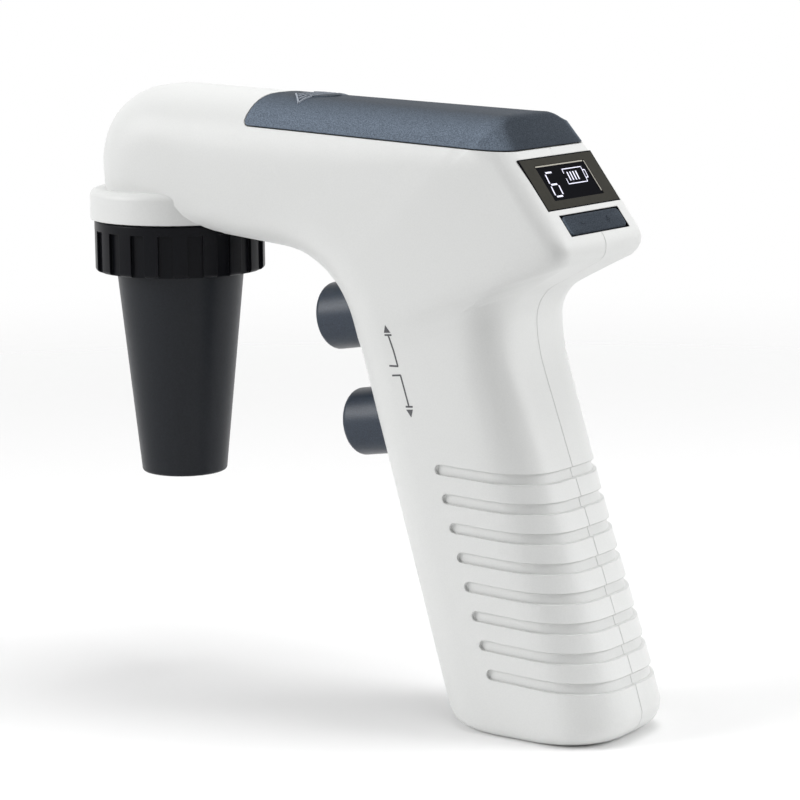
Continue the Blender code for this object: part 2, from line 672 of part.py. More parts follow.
class HousingForm:
    """The housing's outer form, or the same form moved inwards by an inset."""

    def __init__(self, inset, coarse=False):
        self.inset = inset
        self.upper = Outline(upper_outline(), 1.0)
        self.lower = Outline(lower_outline(), -1.0)
        self.lower_steps = CORE_LOWER_STEPS if coarse else LOWER_STEPS
        self.upper_steps = CORE_UPPER_STEPS if coarse else UPPER_STEPS
        self.skip = 2 if coarse else 1
        first, last = [self.upper.marks[k] for k in REAR_STATIONS]
        rear = [
            point for point, length in zip(self.upper.points, self.upper.lengths)
            if first <= length <= last
        ]
        self.rear_lines = list(zip(rear, rear[1:]))

    def rear_depth(self, point):
        """Depth of a point of the plane of symmetry under the pod, web and back."""
        nearest = HEAD_RADIUS
        for start, end in self.rear_lines:
            run = end - start
            share = (point - start).dot(run) / run.length_squared
            foot = start + run * min(max(share, 0.0), 1.0)
            nearest = min(nearest, (point - foot).length)
        return max(nearest - self.inset, 0.0)

    def rounded_span(self, low, high, reach):
        """Length of a section, from its upper end, inside the rear edge's rounding."""
        run = high - low
        spans = [run.length * SPAN_SHARE * k / SPAN_STEPS for k in range(SPAN_STEPS + 1)]
        depths = [self.rear_depth(high - run * (span / run.length)) for span in spans]
        if depths[-1] < reach:
            return spans[-1]
        for k in range(SPAN_STEPS, 0, -1):
            if depths[k - 1] < reach:
                t = (reach - depths[k - 1]) / (depths[k] - depths[k - 1])
                return spans[k - 1] + t * (spans[k] - spans[k - 1])
        return 0.0

    def half_width(self, point, depth_low, depth_up, key, under_top):
        """Half width of the form at a point of the plane of symmetry."""
        half, low_reach, low_power, up_reach, up_power = key
        inset = self.inset
        width = half - inset
        width -= corner_drop(depth_low, low_reach - inset, low_power)
        if up_reach > inset:
            width -= corner_drop(depth_up, up_reach - inset, up_power)
        if under_top:
            span = DISPLAY_TOP_X - COVER_FRONT_X
            t = min(max((point.x - COVER_FRONT_X) / span, 0.0), 1.0)
            reach = ARM_ROUND_FRONT + (ARM_ROUND_REAR - ARM_ROUND_FRONT) * t
            below = (top_line(point.x) - point.y) * math.cos(ARM_SLOPE) - inset
            width -= corner_drop(below, reach - inset, 2.1 + 0.5 * t)
        above_base = point.y - BASE_Z - inset
        if BASE_EDGE > inset:
            width -= corner_drop(above_base, BASE_EDGE - inset, 2.0)
        return max(width, 0.4 * MM)

    def ring(self, low, high, key, under_top=False, rear=False):
        """A closed section between two points of the plane of symmetry."""
        run = high - low
        length = run.length
        span = HEAD_RADIUS - self.inset
        if rear and key[3] > self.inset:
            span = max(span, self.rounded_span(low, high, key[3] - self.inset))
        depths = [step * (key[1] - self.inset) for step in self.lower_steps]
        depths += [length - step * span for step in reversed(self.upper_steps)]
        left = []
        for depth in depths:
            point = low + run * (depth / length)
            depth_up = length - depth
            if rear:
                depth_up = min(depth_up, self.rear_depth(point))
            half = self.half_width(point, depth, depth_up, key, under_top)
            left.append(Vector((point.x, -half, point.y)))
        right = [Vector((p.x, -p.y, p.z)) for p in reversed(left)]
        return left + right

    def keyed_rings(self, keys, body):
        rings = []
        for a, b in zip(keys, keys[1:]):
            steps = max(a[7] // self.skip, 1)
            for k in range(steps):
                key = blend_keys(a[:7], b[:7], k / steps)
                rings.append(self.station_ring(key, body))
        return rings

    def station_ring(self, key, body):
        low = self.lower.at(key[0], self.inset)
        high = self.upper.at(key[1], self.inset)
        if self.inset > GROOVE_DEPTH and low.x < COLLAR_RADIUS + WALL:
            low.y = max(low.y, COLLAR_BOTTOM + WALL)
        if high.x < 0.0:
            high.y = max(high.y, low.y)
        return self.ring(low, high, key[2:], under_top=body, rear=body)

    def rings(self):
        floor = COLLAR_BOTTOM + max(self.inset, COLLAR_EDGE)
        first = self.ring(
            Vector((HEAD_RADIUS - self.inset, floor)),
            Vector((self.inset - HEAD_RADIUS, floor)),
            HEAD_KEYS[0][2:7],
        )
        rings = [first]
        rings += self.keyed_rings(HEAD_KEYS, False)[1:]
        start = len(rings)
        rings += self.keyed_rings(BODY_KEYS, True)
        last = BODY_KEYS[-1]
        low = self.lower.at(last[0], self.inset)
        high = self.upper.at(last[1], self.inset)
        base = BASE_Z + self.inset
        round_z = base + BASE_REAR_RADIUS
        steps = 4 // self.skip
        for k in range(steps + 1):
            t = k / steps
            a = Vector((0.0, low.y + (HANDLE_STRAIGHT_Z - low.y) * t))
            b = Vector((0.0, high.y + (HANDLE_STRAIGHT_Z - high.y) * t))
            key = blend_keys(last[2:7], HANDLE_KEY, t)
            rings.append(self.ring(
                self.lower.at_height(a.y, self.inset),
                self.upper.at_height(b.y, self.inset),
                key,
                rear=True,
            ))
        even_widths(rings, start, len(rings))
        levels = [(HANDLE_STRAIGHT_Z + round_z) / 2.0, round_z]
        turns = (2,) if self.skip == 2 else (1, 2, 3, 4)
        for k in turns:
            angle = math.radians(90.0) * k / (turns[-1] + 1)
            levels.append(base + BASE_REAR_RADIUS * (1.0 - math.sin(angle)))
        levels.append(base)
        for z in levels:
            rings.append(self.ring(
                self.lower.at_height(z, self.inset),
                self.upper.at_height(z, self.inset),
                HANDLE_KEY,
            ))
        return rings

    def mesh(self, name):
        """A loft through the rings, closed at both ends."""
        rings = self.rings()
        shape = bmesh.new()
        rows = [[shape.verts.new(point) for point in ring] for ring in rings]
        count = len(rows[0])
        for a, b in zip(rows, rows[1:]):
            for i in range(count):
                j = (i + 1) % count
                shape.faces.new((a[i], a[j], b[j], b[i]))
        shape.faces.new(list(reversed(rows[0])))
        shape.faces.new(rows[-1])
        bmesh.ops.triangulate(shape, faces=shape.faces)
        return finish_mesh(name, shape, smooth=True)


# The housing: one hollow moulding, cut through and then split along the seam


def wide_box(name, low_x, low_z, high_x, high_z, half_width):
    return box_mesh(name, (low_x, -half_width, low_z), (high_x, half_width, high_z))


def across_rod(name, x, z, radius, start_y, end_y, sides=SMALL_ROUND):
    """A cylinder along y, as a mesh in the nose frame."""
    shape = bmesh.new()
    bmesh.ops.create_cone(
        shape, cap_ends=True, segments=sides, radius1=radius, radius2=radius,
        depth=end_y - start_y,
    )
    bmesh.ops.rotate(
        shape, verts=shape.verts, cent=(0.0, 0.0, 0.0),
        matrix=Vector((0.0, 0.0, 1.0)).rotation_difference(Vector((0.0, 1.0, 0.0))).to_matrix(),
    )
    bmesh.ops.translate(shape, vec=(x, (start_y + end_y) / 2.0, z), verts=shape.verts)
    return finish_mesh(name, shape, smooth=True)


def cover_block(name, clearance):
    """The space above the cover's edge and behind its front, in the arm frame."""
    reach = DISPLAY_TOP_X + DISPLAY_LENGTH
    low = (-clearance, -COLLAR_RADIUS, -clearance)
    high = (reach, COLLAR_RADIUS, ARM_TOP)
    shape = bmesh.new()
    bmesh.ops.create_cube(shape, size=1.0)
    centre = (Vector(low) + Vector(high)) / 2.0
    bmesh.ops.scale(shape, vec=Vector(high) - Vector(low), verts=shape.verts)
    bmesh.ops.translate(shape, vec=centre, verts=shape.verts)
    edges = [
        edge for edge in shape.edges
        if all(v.co.x < 0.0 + MM and v.co.z < 0.0 + MM for v in edge.verts)
    ]
    bmesh.ops.bevel(
        shape, geom=edges, offset=COVER_CORNER + clearance, segments=4,
        affect="EDGES", profile=0.5,
    )
    return finish_mesh(name, shape)


def groove_mesh(name):
    """Upright slots with a round front end, one for each grip groove."""
    shape = bmesh.new()
    half = GROOVE_HEIGHT / 2.0
    reach = DISPLAY_TOP_X
    for i in range(GROOVE_COUNT):
        front = Vector((GROOVE_FIRST_X + i * GROOVE_STAGGER, 0.0,
                        GROOVE_FIRST_Z - i * GROOVE_PITCH))
        along = Vector((math.cos(GROOVE_TILT), 0.0, -math.sin(GROOVE_TILT)))
        upward = Vector((math.sin(GROOVE_TILT), 0.0, math.cos(GROOVE_TILT)))
        rim = [front + along * reach - upward * half, front + along * reach + upward * half]
        for k in range(7):
            angle = math.radians(90.0 + 30.0 * k)
            rim.append(front + half * (along * math.cos(angle) + upward * math.sin(angle)))
        near = [shape.verts.new(p + Vector((0.0, -COLLAR_RADIUS, 0.0))) for p in rim]
        far = [shape.verts.new(p + Vector((0.0, COLLAR_RADIUS, 0.0))) for p in rim]
        shape.faces.new(near)
        shape.faces.new(list(reversed(far)))
        for k in range(len(rim)):
            j = (k + 1) % len(rim)
            shape.faces.new((near[k], near[j], far[j], far[k]))
    return finish_mesh(name, shape)


def make_housing(frames):
    """The whole moulding, as a hollow form that the two shells are cut from."""
    nose = frames["nose"]
    housing = add_cutter("housing", HousingForm(0.0).mesh("housing_form"), nose)
    collar = add_cutter("collar", turned_mesh("collar", [
        (0.0, COLLAR_TOP),
        (COLLAR_RADIUS - COLLAR_EDGE, COLLAR_TOP),
        (COLLAR_RADIUS - 0.3 * COLLAR_EDGE, COLLAR_TOP - 0.3 * COLLAR_EDGE),
        (COLLAR_RADIUS, COLLAR_TOP - COLLAR_EDGE),
        (COLLAR_RADIUS, COLLAR_BOTTOM - WALL),
        (0.0, COLLAR_BOTTOM - WALL),
    ]), nose)
    combine(housing, collar, "UNION")
    combine(housing, add_cutter("ring_room", rod_mesh(
        "ring_room", COLLAR_RADIUS + GAP, COLLAR_BOTTOM - RING_HEIGHT, COLLAR_BOTTOM), nose))
    core = add_cutter("core", HousingForm(WALL, coarse=True).mesh("core"), nose)
    combine(housing, core)

    grooves = add_cutter("grooves", groove_mesh("grooves"), nose)
    inner = add_cutter("groove_floor", HousingForm(GROOVE_DEPTH).mesh("groove_floor"), nose)
    combine(grooves, inner)
    combine(housing, grooves)

    for i, (x, z) in enumerate(SCREW_PLACES):
        reach = BOSS_REACHES[i]
        boss = add_cutter("boss_" + str(i + 1), across_rod(
            "boss", x, z, BOSS_RADIUS, -reach, reach), nose)
        combine(housing, boss, "UNION")
    reach = HANDLE_HALF_WIDTH - WALL / 2.0
    for i, place in enumerate(BLOCK_PINS):
        pin = add_cutter("block_pin_" + str(i + 1), across_rod(
            "block_pin", 0.0, 0.0, FOOT_RADIUS, -reach, reach), frames["upper_trigger"], place)
        combine(housing, pin, "UNION")
    room = BLOCK_HALF_WIDTH + GAP
    combine(housing, add_cutter("block_room", box_mesh(
        "block_room",
        (-BLOCK_MARGIN - GAP, -room, BLOCK_START - GAP),
        (BLOCK_MARGIN + TRIGGER_SPACING + GAP, room, BLOCK_START + BLOCK_LENGTH + GAP),
    ), frames["upper_trigger"]))

    display = frames["display"]
    for i, start in enumerate(LUG_STARTS):
        lug = add_cutter("lug_" + str(i + 1), box_mesh(
            "lug",
            (start, -2.5 * ROCKER_PIN_RADIUS, -ROCKER_PIN_DEPTH - 2.0 * ROCKER_PIN_RADIUS),
            (start + LUG_THICKNESS, 2.5 * ROCKER_PIN_RADIUS, -WALL / 2.0),
        ), display)
        combine(housing, lug, "UNION")
    cut_display(housing, display)

    combine(housing, add_cutter(
        "cover_opening", cover_block("cover_opening", 0.0), frames["arm"]))
    combine(housing, add_cutter("nose_opening", rod_mesh(
        "nose_opening", SPIGOT_RADIUS + GAP, COLLAR_BOTTOM - WALL, COLLAR_BOTTOM + 1.4 * WALL),
        nose))
    for side in ("upper_trigger", "lower_trigger"):
        combine(housing, add_cutter(side + "_hole", rod_mesh(
            "trigger_hole", TRIGGER_RADIUS + GAP, 0.0, TRIGGER_LENGTH - TRIGGER_FLANGE_THICKNESS),
            frames[side]))
        combine(housing, add_cutter(side + "_room", rod_mesh(
            "trigger_room", TRIGGER_RADIUS + TRIGGER_FLANGE + GAP,
            TRIGGER_LENGTH - TRIGGER_FLANGE_THICKNESS - GAP, BLOCK_START),
            frames[side]))
    combine(housing, add_cutter("socket_hole", rod_mesh(
        "socket_hole", SOCKET_RADIUS + GAP, BASE_Z - WALL, BASE_Z + 2.0 * WALL, SMALL_ROUND),
        nose, (SOCKET_X, 0.0, 0.0)))
    for i, (x, z) in enumerate(SCREW_PLACES):
        hole = across_rod("screw_hole", x, z, SCREW_RADIUS + GAP,
                          SCREW_HEAD_SEAT - SCREW_LENGTH - GAP, SCREW_HEAD_SEAT + GAP)
        combine(housing, add_cutter("screw_hole_" + str(i + 1), hole, nose))
        well = across_rod("screw_well", x, z, SCREW_HEAD_RADIUS + GAP,
                          SCREW_HEAD_SEAT - GAP, COLLAR_RADIUS)
        combine(housing, add_cutter("screw_well_" + str(i + 1), well, nose))
    return housing


def cut_display(housing, display):
    """Window recess and its opening, rocker opening and pin bore, in the display frame."""
    depth = WINDOW_THICKNESS + GAP
    window_end = WINDOW_START + WINDOW_LENGTH
    combine(housing, add_cutter("window_recess", wide_box(
        "window_recess", WINDOW_START - GAP, -depth, window_end + GAP, WALL,
        WINDOW_HALF_WIDTH + GAP), display))
    combine(housing, add_cutter("window_opening", wide_box(
        "window_opening", WINDOW_START + WINDOW_LEDGE / 2.0, -2.0 * WALL,
        window_end - WINDOW_LEDGE / 2.0, WALL, WINDOW_HALF_WIDTH - WINDOW_LEDGE), display))
    combine(housing, add_cutter("rocker_opening", wide_box(
        "rocker_opening", ROCKER_START - GAP, -2.0 * WALL,
        ROCKER_START + ROCKER_LENGTH + GAP, 2.0 * WALL,
        ROCKER_HALF_WIDTH + ROCKER_SIDE_GAP), display))
    bore = rod_mesh("pin_bore", ROCKER_PIN_RADIUS + GAP, 0.0,
                    rocker_pin_length() + 2.0 * GAP, SMALL_ROUND)
    combine(housing, add_cutter("pin_bore", bore, display,
                                (LUG_STARTS[0] + GAP, 0.0, -ROCKER_PIN_DEPTH),
                                math.radians(90.0)))


def make_shells(frames):
    """Left and right shells: the housing on each side of the seam."""
    housing = make_housing(frames)
    mesh = evaluated_mesh(housing, "housing")
    reach = DISPLAY_TOP_X * 2.0
    for name, side in (("left_shell", -1.0), ("right_shell", 1.0)):
        shell = add_part(name, mesh.copy(), frames["nose"], "shell")
        near = side * GAP / 2.0
        low = (-reach, min(near, -side * reach), -reach)
        high = (reach, max(near, -side * reach), reach)
        combine(shell, add_cutter("not_" + name, box_mesh("half_space", low, high),
                                  frames["nose"]))
        join_flat_facets(shell)
        shell.data.set_sharp_from_angle(angle=math.radians(30.0))


def make_cover(frames):
    """The sliding battery cover: the arm's top, hollow, with a rail along each edge.

    A channel through its narrow front lets it slide back over the rails of the tray.
    """
    form = HousingForm(0.0).mesh("cover_form")
    cover = add_part("battery_cover", form, frames["nose"], "slate")
    keep = add_cutter("cover_block", cover_block("cover_block", -GAP), frames["arm"])
    combine(cover, keep, "INTERSECT")
    combine(cover, add_cutter("cover_core", HousingForm(WALL, coarse=True).mesh("cover_core"),
                              frames["nose"]))
    pad = rod_mesh("thumb_pad", 0.5, 0.0, 1.0, SMALL_ROUND, 0.40)
    pad_cutter = add_cutter("thumb_pad", pad, frames["arm"], (PAD_X, 0.0, pad_height()))
    pad_cutter.scale = (PAD_LENGTH, PAD_WIDTH, PAD_HEIGHT + WALL / 2.0)
    combine(cover, pad_cutter, "UNION")
    channel = TRAY_RAIL_HALF_WIDTH + GAP
    combine(cover, add_cutter("rail_channel", wide_box(
        "rail_channel", -WALL, -WALL, TRAY_END + GAP,
        TRAY_RAIL_Z + TRAY_RAIL_THICKNESS + GAP, channel), frames["arm"]))
    rail_end = (DISPLAY_TOP_X - COVER_FRONT_X) / math.cos(ARM_SLOPE) - WALL
    for name, side in (("left", -1.0), ("right", 1.0)):
        inner = side * (TRAY_RAIL_HALF_WIDTH - COVER_RAIL_OVERLAP)
        outer = side * (ARM_REAR_HALF_WIDTH - WALL * 1.3)
        rail = box_mesh(
            "cover_rail",
            (TRAY_RAIL_START, min(inner, outer), COVER_RAIL_Z),
            (rail_end, max(inner, outer), COVER_RAIL_Z + COVER_RAIL_HEIGHT),
        )
        combine(cover, add_cutter("cover_rail_" + name, rail, frames["arm"]), "UNION")
    return cover


def pad_height():
    """Height of the cover's top above its edge, at the thumb pad."""
    x = COVER_FRONT_X + PAD_X
    edge = COVER_FRONT_Z - PAD_X * math.sin(ARM_SLOPE)
    return (top_line(x) - edge) * math.cos(ARM_SLOPE) - WALL / 2.0


# Display end


def rocker_pin_length():
    return LUG_STARTS[1] + LUG_THICKNESS - LUG_STARTS[0] - 4.0 * GAP


def make_display(frames):
    """Window, display module, board, two key switches, rocker and its pin."""
    display = frames["display"]
    window_end = WINDOW_START + WINDOW_LENGTH
    add_part("display_window", wide_box(
        "display_window", WINDOW_START, -WINDOW_THICKNESS, window_end, 0.0,
        WINDOW_HALF_WIDTH), display, "glass")
    module_top = -WINDOW_THICKNESS - GAP
    inset = WINDOW_LEDGE / 2.0 + GAP
    add_part("display_module", wide_box(
        "display_module", WINDOW_START + inset, module_top - LCD_DEPTH, window_end - inset,
        module_top, WINDOW_HALF_WIDTH - WINDOW_LEDGE - GAP), display, "plastic")
    board_top = module_top - LCD_DEPTH - GAP
    rocker_end = ROCKER_START + ROCKER_LENGTH
    add_part("display_board", wide_box(
        "display_board", WINDOW_START + inset, board_top - BOARD_THICKNESS,
        rocker_end - inset, board_top, DISPLAY_BOARD_HALF_WIDTH), display, "board")

    middle = ROCKER_START + ROCKER_LENGTH / 2.0
    for name, side in (("minus_switch", -1.0), ("plus_switch", 1.0)):
        half = SWITCH_SIZE / 2.0
        body_top = ROCKER_PROUD - ROCKER_THICKNESS - SWITCH_PLUNGER - SWITCH_FREE
        switch = add_part(name, box_mesh(
            name, (-half, -half, board_top + GAP), (half, half, body_top)),
            display, "plastic", (middle, side * SWITCH_SPACING, 0.0))
        plunger = rod_mesh(name + "_plunger", SWITCH_PLUNGER_RADIUS, body_top - GAP,
                           body_top + SWITCH_PLUNGER, SMALL_ROUND)
        combine(switch, add_cutter(name + "_plunger", plunger, display,
                                   (middle, side * SWITCH_SPACING, 0.0)), "UNION")

    pin_place = (LUG_STARTS[0] + 2.0 * GAP, 0.0, -ROCKER_PIN_DEPTH)
    add_part("rocker_pin", rod_mesh(
        "rocker_pin", ROCKER_PIN_RADIUS, 0.0, rocker_pin_length(), SMALL_ROUND),
        display, "steel", pin_place, math.radians(90.0))
    rocker_axis = add_frame("rocker_axis", (middle, 0.0, -ROCKER_PIN_DEPTH), 0.0, display)
    half = ROCKER_LENGTH / 2.0
    top = ROCKER_PIN_DEPTH + ROCKER_PROUD
    rocker = add_part("speed_rocker", wide_box(
        "speed_rocker", -half, top - ROCKER_THICKNESS, half, top, ROCKER_HALF_WIDTH),
        rocker_axis, "slate")
    add_bevel(rocker, ROCKER_EDGE)
    rib = add_cutter("rocker_rib", wide_box(
        "rocker_rib", GAP - half, -ROCKER_RIB, half - GAP,
        top - ROCKER_THICKNESS / 2.0, ROCKER_RIB), rocker_axis)
    combine(rocker, rib, "UNION")
    bore = rod_mesh("rocker_bore", ROCKER_PIN_RADIUS + GAP, -ROCKER_LENGTH, ROCKER_LENGTH,
                    SMALL_ROUND)
    combine(rocker, add_cutter("rocker_bore", bore, rocker_axis, tilt=math.radians(90.0)))


# Triggers and valves


def spring_points(start, end):
    """A helix along z that starts and ends with a nearly flat coil."""
    points = []
    per_turn = 8
    count = SPRING_TURNS * per_turn
    for k in range(count + 1):
        t = k / count
        angle = 2.0 * math.pi * k / per_turn
        rise = t - 0.10 * math.sin(4.0 * math.pi * t) / 2.0
        points.append((
            SPRING_RADIUS * math.cos(angle), SPRING_RADIUS * math.sin(angle),
            start + (end - start) * rise,
        ))
    return points


def make_trigger(name, frame):
    """A pushed cap with its valve stem and return spring, along the frame's z."""
    flange_start = TRIGGER_LENGTH - TRIGGER_FLANGE_THICKNESS
    flange = TRIGGER_RADIUS + TRIGGER_FLANGE
    hollow = SPRING_RADIUS + SPRING_WIRE + 2.0 * GAP
    rim = TRIGGER_EDGE * 0.3
    add_part(name + "_trigger", turned_mesh(name + "_trigger", [
        (0.0, 0.0),
        (TRIGGER_RADIUS - TRIGGER_EDGE, 0.0),
        (TRIGGER_RADIUS - rim, rim),
        (TRIGGER_RADIUS, TRIGGER_EDGE),
        (TRIGGER_RADIUS, flange_start),
        (flange, flange_start),
        (flange, TRIGGER_LENGTH),
        (hollow, TRIGGER_LENGTH),
        (hollow, TRIGGER_FACE),
        (0.0, TRIGGER_FACE),
    ], INNER_ROUND), frame, "slate")
    stem_start = TRIGGER_FACE + GAP
    add_part(name + "_stem", rod_mesh(
        name + "_stem", STEM_RADIUS, stem_start, stem_start + STEM_LENGTH, SMALL_ROUND),
        frame, "brass")
    coil = spring_points(stem_start + SPRING_WIRE, BLOCK_START - GAP - SPRING_WIRE)
    add_part(name + "_spring", swept_mesh(name + "_spring", coil, SPRING_WIRE, resolution=1),
             frame, "steel")
    seal_start = BLOCK_START + GAP
    bore = STEM_RADIUS + GAP
    add_part(name + "_seal", turned_mesh(name + "_seal", [
        (bore, seal_start + SEAL_THICKNESS),
        (SEAL_RADIUS, seal_start + SEAL_THICKNESS),
        (SEAL_RADIUS, seal_start),
        (bore, seal_start),
    ], SMALL_ROUND), frame, "silicone")
    half = KEY_SWITCH_SIZE / 2.0
    side = SPRING_RADIUS + SPRING_WIRE + 4.0 * GAP
    add_part(name + "_switch", box_mesh(
        name + "_switch", (-half, side, BLOCK_START - GAP - KEY_SWITCH_DEPTH),
        (half, side + KEY_SWITCH_WIDTH, BLOCK_START - GAP)), frame, "plastic")


def make_valve_block(frames):
    """The block that both stems slide in, with ports for the three hoses."""
    upper = frames["upper_trigger"]
    block = add_part("valve_block", box_mesh(
        "valve_block",
        (-BLOCK_MARGIN, -BLOCK_HALF_WIDTH, BLOCK_START),
        (TRIGGER_SPACING + BLOCK_MARGIN, BLOCK_HALF_WIDTH, BLOCK_END),
    ), upper, "plastic")
    combine(block, add_cutter("block_step", box_mesh(
        "block_step",
        (TRIGGER_SPACING / 2.0, -2.0 * BLOCK_HALF_WIDTH, BLOCK_START - MM),
        (TRIGGER_SPACING * 2.0, 2.0 * BLOCK_HALF_WIDTH, BLOCK_START + TRIGGER_SETBACK),
    ), upper))
    travel_end = TRIGGER_FACE + GAP + STEM_LENGTH + TRIGGER_TRAVEL + 2.0 * GAP
    for side in ("upper_trigger", "lower_trigger"):
        bore = rod_mesh("stem_bore", STEM_RADIUS + GAP, BLOCK_START - MM, travel_end,
                        SMALL_ROUND)
        combine(block, add_cutter(side + "_stem_bore", bore, frames[side]))
        pocket = rod_mesh("seal_pocket", SEAL_RADIUS + GAP, BLOCK_START - MM,
                          BLOCK_START + SEAL_THICKNESS + 2.0 * GAP, SMALL_ROUND)
        combine(block, add_cutter(side + "_seal_pocket", pocket, frames[side]))
    ports = (
        ("nose", -BLOCK_MARGIN, 0.0, -90.0),
        ("pressure", TRIGGER_SPACING + BLOCK_MARGIN, PORT_SPACING, 90.0),
        ("suction", TRIGGER_SPACING + BLOCK_MARGIN, -PORT_SPACING, 90.0),
    )
    for name, x, y, turn in ports:
        nipple = rod_mesh("port", NIPPLE_RADIUS, -WALL, NIPPLE_LENGTH, SMALL_ROUND)
        combine(block, add_cutter(name + "_port", nipple, upper, (x, y, BLOCK_PORT),
                                  math.radians(turn)), "UNION")


# Nosepiece, adapter, filter and spigot


def flute_mesh(name):
    """Slots round the ring, open at its lower end."""
    shape = bmesh.new()
    floor = RING_RADIUS - FLUTE_DEPTH
    top = RING_TOP - RING_BAND
    bottom = RING_BOTTOM - MM
    size = Vector((2.0 * FLUTE_DEPTH, FLUTE_WIDTH, top - bottom))
    for k in range(FLUTE_COUNT):
        angle = 2.0 * math.pi * k / FLUTE_COUNT
        cube = bmesh.ops.create_cube(shape, size=1.0)["verts"]
        bmesh.ops.scale(shape, vec=size, verts=cube)
        bmesh.ops.translate(
            shape, vec=(floor + FLUTE_DEPTH, 0.0, (top + bottom) / 2.0), verts=cube)
        bmesh.ops.rotate(
            shape, verts=cube, cent=(0.0, 0.0, 0.0), matrix=Matrix.Rotation(angle, 3, "Z"))
    return finish_mesh(name, shape)


def make_nose(frames):
    """The nosepiece with its fluted ring, and what sits inside it."""
    nose = frames["nose"]
    rim = 0.3 * TIP_EDGE
    edge = RING_EDGE
    nosepiece = add_part("nosepiece", turned_mesh("nosepiece", [
        (RING_RADIUS - edge / 2.0, RING_TOP),
        (RING_RADIUS, RING_TOP - edge / 2.0),
        (RING_RADIUS, RING_BOTTOM + edge),
        (RING_RADIUS - 0.3 * edge, RING_BOTTOM + 0.3 * edge),
        (RING_RADIUS - edge, RING_BOTTOM),
        (CONE_TOP_RADIUS, RING_BOTTOM),
        (CONE_TIP_RADIUS, TIP_Z + TIP_EDGE),
        (CONE_TIP_RADIUS - rim, TIP_Z + rim),
        (CONE_TIP_RADIUS - TIP_EDGE, TIP_Z),
        (CONE_TIP_RADIUS - CONE_WALL, TIP_Z),
        (CONE_TOP_RADIUS - CONE_WALL, RING_BOTTOM),
        (RING_BORE, RING_BOTTOM),
        (RING_BORE, RING_TOP),
    ], 2 * FLUTE_COUNT), nose, "nose")
    combine(nosepiece, add_cutter("flutes", flute_mesh("flutes"), nose))

    taper = (CONE_TOP_RADIUS - CONE_TIP_RADIUS) / CONE_LENGTH
    adapter_top = SPIGOT_END - GAP
    adapter_end = TIP_Z + ADAPTER_RECESS
    outside = CONE_TOP_RADIUS - CONE_WALL - GAP
    filter_seat = adapter_top - ADAPTER_CHAMBER
    neck = NIPPLE_RADIUS * 2.0 + GAP
    add_part("pipette_adapter", turned_mesh("pipette_adapter", [
        (outside, adapter_top),
        (outside, RING_BOTTOM),
        (outside - taper * (RING_BOTTOM - adapter_end), adapter_end),
        (ADAPTER_BORE_TIP, adapter_end),
        (ADAPTER_BORE_TOP, adapter_end + ADAPTER_MOUTH),
        (ADAPTER_BORE_TOP, filter_seat - FILTER_NIPPLE - GAP),
        (neck, filter_seat - FILTER_NIPPLE - GAP),
        (neck, filter_seat),
        (FILTER_RADIUS + GAP, filter_seat),
        (FILTER_RADIUS + GAP, adapter_top),
    ], INNER_ROUND), nose, "silicone")
    disc_end = filter_seat + GAP
    disc_top = disc_end + FILTER_THICKNESS
    add_part("membrane_filter", turned_mesh("membrane_filter", [
        (0.0, disc_top + FILTER_NIPPLE),
        (neck - 2.0 * GAP, disc_top + FILTER_NIPPLE),
        (neck - 2.0 * GAP, disc_top),
        (FILTER_RADIUS, disc_top),
        (FILTER_RADIUS, disc_end),
        (neck - GAP, disc_end),
        (neck - GAP, disc_end - FILTER_NIPPLE),
        (0.0, disc_end - FILTER_NIPPLE),
    ], INNER_ROUND), nose, "filter")

    groove = RING_SEAL_WIRE + GAP
    seal_z = SPIGOT_END + 2.0 * RING_SEAL_WIRE + GAP
    groove_floor = SPIGOT_RADIUS - RING_SEAL_WIRE - GAP
    spigot = add_part("nose_spigot", turned_mesh("nose_spigot", [
        (0.0, SPIGOT_TOP),
        (SPIGOT_FLANGE, SPIGOT_TOP),
        (SPIGOT_FLANGE, SPIGOT_SEAT),
        (SPIGOT_RADIUS, SPIGOT_SEAT),
        (SPIGOT_RADIUS, seal_z + groove),
        (groove_floor, seal_z + groove),
        (groove_floor, seal_z - groove),
        (SPIGOT_RADIUS, seal_z - groove),
        (SPIGOT_RADIUS, SPIGOT_END),
        (SPIGOT_RADIUS - SPIGOT_WALL, SPIGOT_END),
        (SPIGOT_RADIUS - SPIGOT_WALL, SPIGOT_SEAT),
        (0.0, SPIGOT_SEAT),
    ], INNER_ROUND), nose, "plastic")
    combine(spigot, add_cutter("spigot_port", rod_mesh(
        "spigot_port", NIPPLE_RADIUS, SPIGOT_SEAT + GAP, SPIGOT_TOP + NIPPLE_LENGTH,
        SMALL_ROUND), nose), "UNION")
    combine(spigot, add_cutter("spigot_bore", rod_mesh(
        "spigot_bore", PORT_BORE, SPIGOT_END, SPIGOT_TOP + 2.0 * NIPPLE_LENGTH,
        SMALL_ROUND // 2), nose))
    add_part("spigot_o_ring", ring_seal_mesh("spigot_o_ring", groove_floor + GAP, seal_z),
             nose, "silicone")


def ring_seal_mesh(name, inner_radius, z):
    """A round ring of seal wire."""
    middle = inner_radius + RING_SEAL_WIRE
    profile = []
    for k in range(6):
        angle = math.radians(90.0 - 60.0 * k)
        profile.append((middle + RING_SEAL_WIRE * math.cos(angle),
                        z + RING_SEAL_WIRE * math.sin(angle)))
    return turned_mesh(name, profile, INNER_ROUND)


# Pump, motor and hoses


